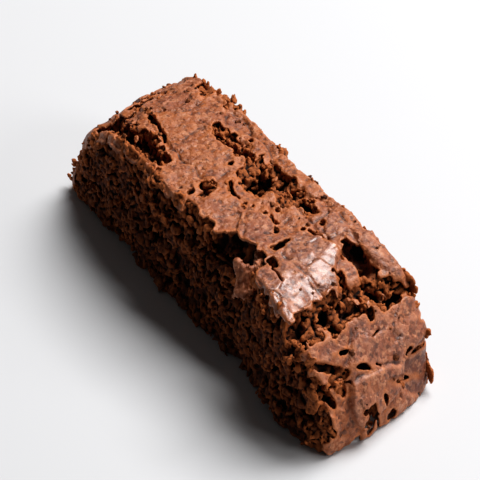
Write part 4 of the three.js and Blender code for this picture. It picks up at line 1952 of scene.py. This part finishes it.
@dataclass(frozen=True)
class CrumbFinish(Finish):
    """Matt reddish-brown crumb, with painted shade that makes it near black down in its gaps and creases, and
    painted highlights on the tops of its grains.
    """

    name: str = "crumb"
    light: Colour = (0.14, 0.033, 0.01)
    deep: Colour = (0.06, 0.013, 0.004)
    toasted: Colour = (0.36, 0.11, 0.032)
    # painted highlight: the light orange that the tops of grains are lightened to
    painted_tip_highlight: Colour = (0.46, 0.138, 0.038)
    # painted shade: the near black that the crumb's gaps, pores and creases are darkened to
    dark: Colour = (0.006, 0.002, 0.001)
    skin: Colour = (0.2, 0.066, 0.034)
    moist_size: float = 6.0
    specular: float = 0.25
    grain_size: float = 0.75
    grain_height: float = 0.34

    def paint(self) -> None:
        """Builds the crumb's nodes."""
        grain = self.grain(self.grain_size)
        mottle = self.ramp(self.noise(1.6, 4.0, 0.6), 0.35, 0.65)
        baked = self.ramp(self.stored("bake"), -2.2, -0.3)
        base = self.mix(self.maths("MULTIPLY", baked, 0.85), self.light, self.toasted)
        colour = self.mix(self.maths("MAXIMUM", mottle, self.maths("MULTIPLY", baked, 0.8)), self.deep, base)
        colour = self.wash(colour, self.toasted, self.stored("grain"), 0.62, 1.0, 0.55)
        colour = self.wash(colour, self.toasted, grain.outputs["Tint"], 0.6, 1.0, 0.5)
        colour = self.wash(colour, self.deep, grain.outputs["Tint"], 0.35, 0.0, 0.5)
        # Painted highlight: the tops of grains, where the crumb is least shut in, are lightened towards
        # orange.
        painted_tip_highlight = self.ramp(self.stored("crease"), 0.5, 0.3)
        colour = self.mix(self.maths("MULTIPLY", painted_tip_highlight, 0.75), colour, self.painted_tip_highlight)
        # Painted shade: where the crumb is shut in, near and far, and in its fine creases, its colour is
        # darkened towards near black.
        near_gap_shade = self.ramp(self.stored("shut"), 0.5, 0.66)
        far_gap_shade = self.ramp(self.stored("deep"), 0.54, 0.68)
        creases = self.ramp(self.stored("crease"), 0.51, 0.62, 0.0, 0.95)
        moist = self.ramp(self.noise(self.moist_size, 3.0, 0.6), 0.42, 0.62, 0.0, 0.48)
        colour = self.mix(self.maths("SUBTRACT", moist, baked), colour, self.deep)
        gaps = self.maths("MAXIMUM", self.maths("MAXIMUM", near_gap_shade, far_gap_shade), creases)
        colour = self.mix(gaps, colour, self.dark)
        colour = self.mix(self.maths("MULTIPLY", self.stored("skin"), 0.9), colour, self.skin)
        self.shade("Base Color", colour)
        rough = self.ramp(self.stored("skin"), 0.0, 1.0, 0.8, 0.42)
        self.shade("Roughness", rough)
        self.shade("Specular IOR Level", self.specular)
        fine = self.bump(grain.outputs["Height"], self.grain_height)
        self.shade("Normal", fine)


@dataclass(frozen=True)
class CrustFinish(Finish):
    """Brittle crust: pinkish to orange-brown, satin where it stretched thin over the loaf."""

    name: str = "crust"
    pink: Colour = (0.32, 0.096, 0.04)
    orange: Colour = (0.38, 0.105, 0.022)
    # the dark purplish colour of dusky plates, made darker still as painted shade for the end plate that
    # turns away from the light
    dusky: Colour = (0.125, 0.036, 0.021)
    umber: Colour = (0.19, 0.044, 0.012)
    # painted sheen: the pinkish light washed over the glossy plates
    rosy_painted_sheen: Colour = (0.41, 0.165, 0.1)
    crumb: Colour = (0.17, 0.045, 0.015)
    gilt: Colour = (0.54, 0.22, 0.112)
    torn: Colour = (0.46, 0.135, 0.032)
    # dark pits scattered at random, and also the painted shade laid into the crust's creases
    pit_and_crease_shade: Colour = (0.05, 0.013, 0.006)
    crack: Colour = (0.12, 0.03, 0.011)
    sheen: Colour = (0.55, 0.24, 0.12)
    dot_size: float = 0.6
    specular: float = 0.5
    coat_roughness: float = 0.31
    grain_size: float = 0.95
    grain_height: float = 0.2
    dust_size: float = 0.45
    dust_height: float = 0.1

    def paint(self) -> None:
        """Builds the crust's nodes."""
        grain = self.grain(self.grain_size)
        tone = self.maths("ADD", self.stored("tone"), self.ramp(self.noise(5.0, 3.0), 0.3, 0.7, -0.5, 0.5))
        colour = self.wash(self.pink, self.orange, tone, -0.2, 1.0)
        colour = self.wash(colour, self.dusky, tone, 0.0, -1.0)
        # Painted sheen: the glossier a plate, the more it is washed towards a light rosy colour.
        colour = self.wash(colour, self.rosy_painted_sheen, self.stored("gloss"), 0.4, 0.9, 0.5)
        blotch = self.ramp(self.noise(2.2, 4.0, 0.62), 0.4, 0.68)
        colour = self.mix(self.maths("MULTIPLY", blotch, 0.5), colour, self.umber)
        colour = self.wash(colour, self.gilt, grain.outputs["Tint"], 0.6, 1.0, 0.45)
        colour = self.wash(colour, self.umber, grain.outputs["Tint"], 0.4, 0.0, 0.55)
        colour = self.wash(colour, self.gilt, grain.outputs["Speckle"], 0.52, 0.7, 0.4)
        dots = self.grain(self.dot_size)
        colour = self.wash(colour, self.sheen, dots.outputs["Tint"], 0.82, 0.9, 0.5)
        colour = self.wash(colour, self.pit_and_crease_shade, dots.outputs["Tint"], 0.16, 0.08, 0.6)
        crazed = self.ramp(self.noise(1.5, 5.0, 0.7), 0.5, 0.39, 0.0, 0.85)
        crazed = self.maths("MULTIPLY", crazed, self.ramp(self.stored("gloss"), 0.3, 0.7, 0.35, 1.0))
        colour = self.mix(crazed, colour, self.crack)
        # Painted highlight: the crust's raised points, where it is least shut in, are washed lighter with
        # gilt.
        colour = self.wash(colour, self.gilt, self.stored("crease"), 0.5, 0.36, 0.3)
        colour = self.wash(colour, self.torn, self.stored("rim"), 0.6, 0.0, 0.8)
        # Painted shade: the crust's creases are darkened with the same colour as the dark pits.
        colour = self.wash(colour, self.pit_and_crease_shade, self.stored("crease"), 0.5, 0.62, 0.85)
        below = self.ramp(self.stored("depth"), -0.15, -0.5)
        colour = self.mix(below, colour, self.crumb)
        self.shade("Base Color", colour)
        gloss = self.ramp(self.stored("gloss"), 0.2, 1.0, 0.52, 0.4)
        patchy = self.ramp(grain.outputs["Speckle"], 0.35, 0.65, 0.12, -0.1)
        rough = self.maths("ADD", self.maths("ADD", gloss, patchy), self.maths("MULTIPLY", below, 0.3))
        self.shade("Roughness", rough)
        self.shade("Specular IOR Level", self.specular)
        self.shade("Coat Roughness", self.coat_roughness)
        coat = self.ramp(self.stored("gloss"), 0.4, 1.0, 0.0, 1.0)
        coat = self.maths("MULTIPLY", coat, self.ramp(self.noise(2.2, 5.0, 0.7), 0.38, 0.56, 0.05, 1.0))
        self.shade("Coat Weight", self.maths("SUBTRACT", coat, below))
        wrinkles = self.bump(grain.outputs["Height"], self.grain_height)
        pricks = self.bump(self.ramp(self.cells(1.3), 0.12, 0.3), 0.12, 0.7, wrinkles)
        dusty = self.bump(self.noise(self.dust_size, 3.0, 0.7), self.dust_height, 1.0, pricks)
        self.shade("Normal", dusty)


@dataclass(frozen=True)
class FlakeFinish(Finish):
    """The same crust seen from both sides, thin, red-brown and glossy."""

    name: str = "flake"
    brown: Colour = (0.24, 0.07, 0.026)
    light: Colour = (0.52, 0.2, 0.1)
    roughness: float = 0.4
    specular: float = 0.45
    grain_size: float = 1.2
    grain_height: float = 0.22

    def paint(self) -> None:
        """Builds the flake's nodes."""
        grain = self.grain(self.grain_size)
        spots = self.ramp(grain.outputs["Speckle"], 0.4, 0.66)
        self.shade("Base Color", self.mix(spots, self.brown, self.light))
        rough = self.ramp(grain.outputs["Tint"], 0.0, 1.0, self.roughness, self.roughness + 0.2)
        self.shade("Roughness", rough)
        self.shade("Specular IOR Level", self.specular)
        self.shade("Normal", self.bump(grain.outputs["Height"], self.grain_height))


@dataclass(frozen=True)
class LooseFinish(Finish):
    """Dry loose crumbs, each with its own shade from toasted to dark."""

    name: str = "loose crumbs"
    dark: Colour = (0.06, 0.016, 0.006)
    toasted: Colour = (0.34, 0.11, 0.036)
    roughness: float = 0.8
    specular: float = 0.25
    shade_size: float = 2.0
    grain_size: float = 0.4
    grain_height: float = 0.12

    def paint(self) -> None:
        """Builds the loose crumbs' nodes."""
        shade = self.ramp(self.noise(self.shade_size, 4.0, 0.7), 0.36, 0.62)
        grain = self.grain(self.grain_size)
        shade = self.maths("MULTIPLY", shade, self.ramp(grain.outputs["Tint"], 0.0, 0.6, 0.4, 1.0))
        self.shade("Base Color", self.mix(shade, self.dark, self.toasted))
        self.shade("Roughness", self.roughness)
        self.shade("Specular IOR Level", self.specular)
        self.shade("Normal", self.bump(grain.outputs["Height"], self.grain_height))


@dataclass(frozen=True)
class FloorFinish(Finish):
    """Plain white table top."""

    name: str = "floor"
    colour: Colour = (0.61, 0.61, 0.62)
    roughness: float = 0.6

    def paint(self) -> None:
        """Builds the floor's nodes."""
        self.shade("Base Color", self.colour)
        self.shade("Roughness", self.roughness)


@dataclass(frozen=True)
class Softbox:
    """One square soft light: where it hangs from the slice, how far off, its side and its power in watts."""

    name: str
    direction: Triple
    reach: float
    size: float
    power: float

    def hang(self, aim: Triple) -> None:
        """Hangs the light, turned to the slice.

        Args:
            aim: The place that it shines on.
        """
        light = bpy.data.lights.new(self.name, "AREA")
        light.energy, light.size = self.power, self.size
        lamp = bpy.data.objects.new(self.name, light)
        lamp.location = Vector(self.direction).normalized() * self.reach + Vector(aim)
        lamp.rotation_euler = Vector(self.direction).to_track_quat("Z", "Y").to_euler()
        bpy.context.collection.objects.link(lamp)


@dataclass
class Studio:
    """The floor, the soft light and the camera."""

    azimuth: float = 60.64
    elevation: float = 34.5
    distance: float = 0.4665
    field_of_view: float = 9.4
    aim: tuple[float, float, float] = (0.0, 0.0, 0.009)
    floor_size: float = 4.0
    key: Softbox = Softbox("key", (-0.15, 0.6, 1.0), 0.8, 0.5, 9.0)
    side: Softbox = Softbox("side", (0.9, 0.6, 0.5), 0.8, 0.3, 1.8)
    room_light: float = 0.055
    nearest: float = 0.01

    def build(self) -> None:
        """Sets up the whole studio."""
        self._floor()
        self._lights()
        self._camera()

    def _floor(self) -> None:
        """Lays a wide pale floor."""
        bpy.ops.object.select_all(action="DESELECT")
        bpy.ops.mesh.primitive_plane_add(size=self.floor_size)
        floor = bpy.context.object
        floor.name = "floor"
        floor.data.materials.append(FloorFinish().material())

    def _lights(self) -> None:
        """Hangs the lights and sets the room's own light."""
        for softbox in (self.key, self.side):
            softbox.hang(self.aim)
        world = bpy.data.worlds.new("room")
        world.use_nodes = True
        world.node_tree.nodes["Background"].inputs["Color"].default_value = (1.0, 1.0, 1.0, 1.0)
        world.node_tree.nodes["Background"].inputs["Strength"].default_value = self.room_light
        bpy.context.scene.world = world
        bpy.context.scene.view_settings.view_transform = "Standard"
        bpy.context.scene.view_settings.look = "Medium High Contrast"

    def _camera(self) -> None:
        """Places the camera and aims it at the slice."""
        turn, rise = math.radians(self.azimuth), math.radians(self.elevation)
        away = Vector((math.sin(turn) * math.cos(rise), -math.cos(turn) * math.cos(rise), math.sin(rise)))
        camera = bpy.data.objects.new("camera", bpy.data.cameras.new("camera"))
        camera.location = Vector(self.aim) + away * self.distance
        camera.rotation_euler = away.to_track_quat("Z", "Y").to_euler()
        camera.data.angle = math.radians(self.field_of_view)
        camera.data.clip_start = self.nearest
        bpy.context.collection.objects.link(camera)
        bpy.context.scene.camera = camera


def main() -> None:
    """Builds the studio and every piece in order."""
    logging.basicConfig(level=logging.INFO, format="%(name)s %(message)s")
    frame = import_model()
    LOG.info("frame %s", sorted(frame["nodes"]))
    Studio().build()
    slice_field = SliceField()
    LOG.info("field %s", slice_field.grid.shape)
    crumb = Crumb().build(slice_field, CrumbFinish())
    crust = Crust().build(slice_field, CrustFinish())
    CurledFlake().build(slice_field.loaf, FlakeFinish())
    LooseCrumbs().build(crumb + crust, LooseFinish())


if __name__ == "__main__":
    main()
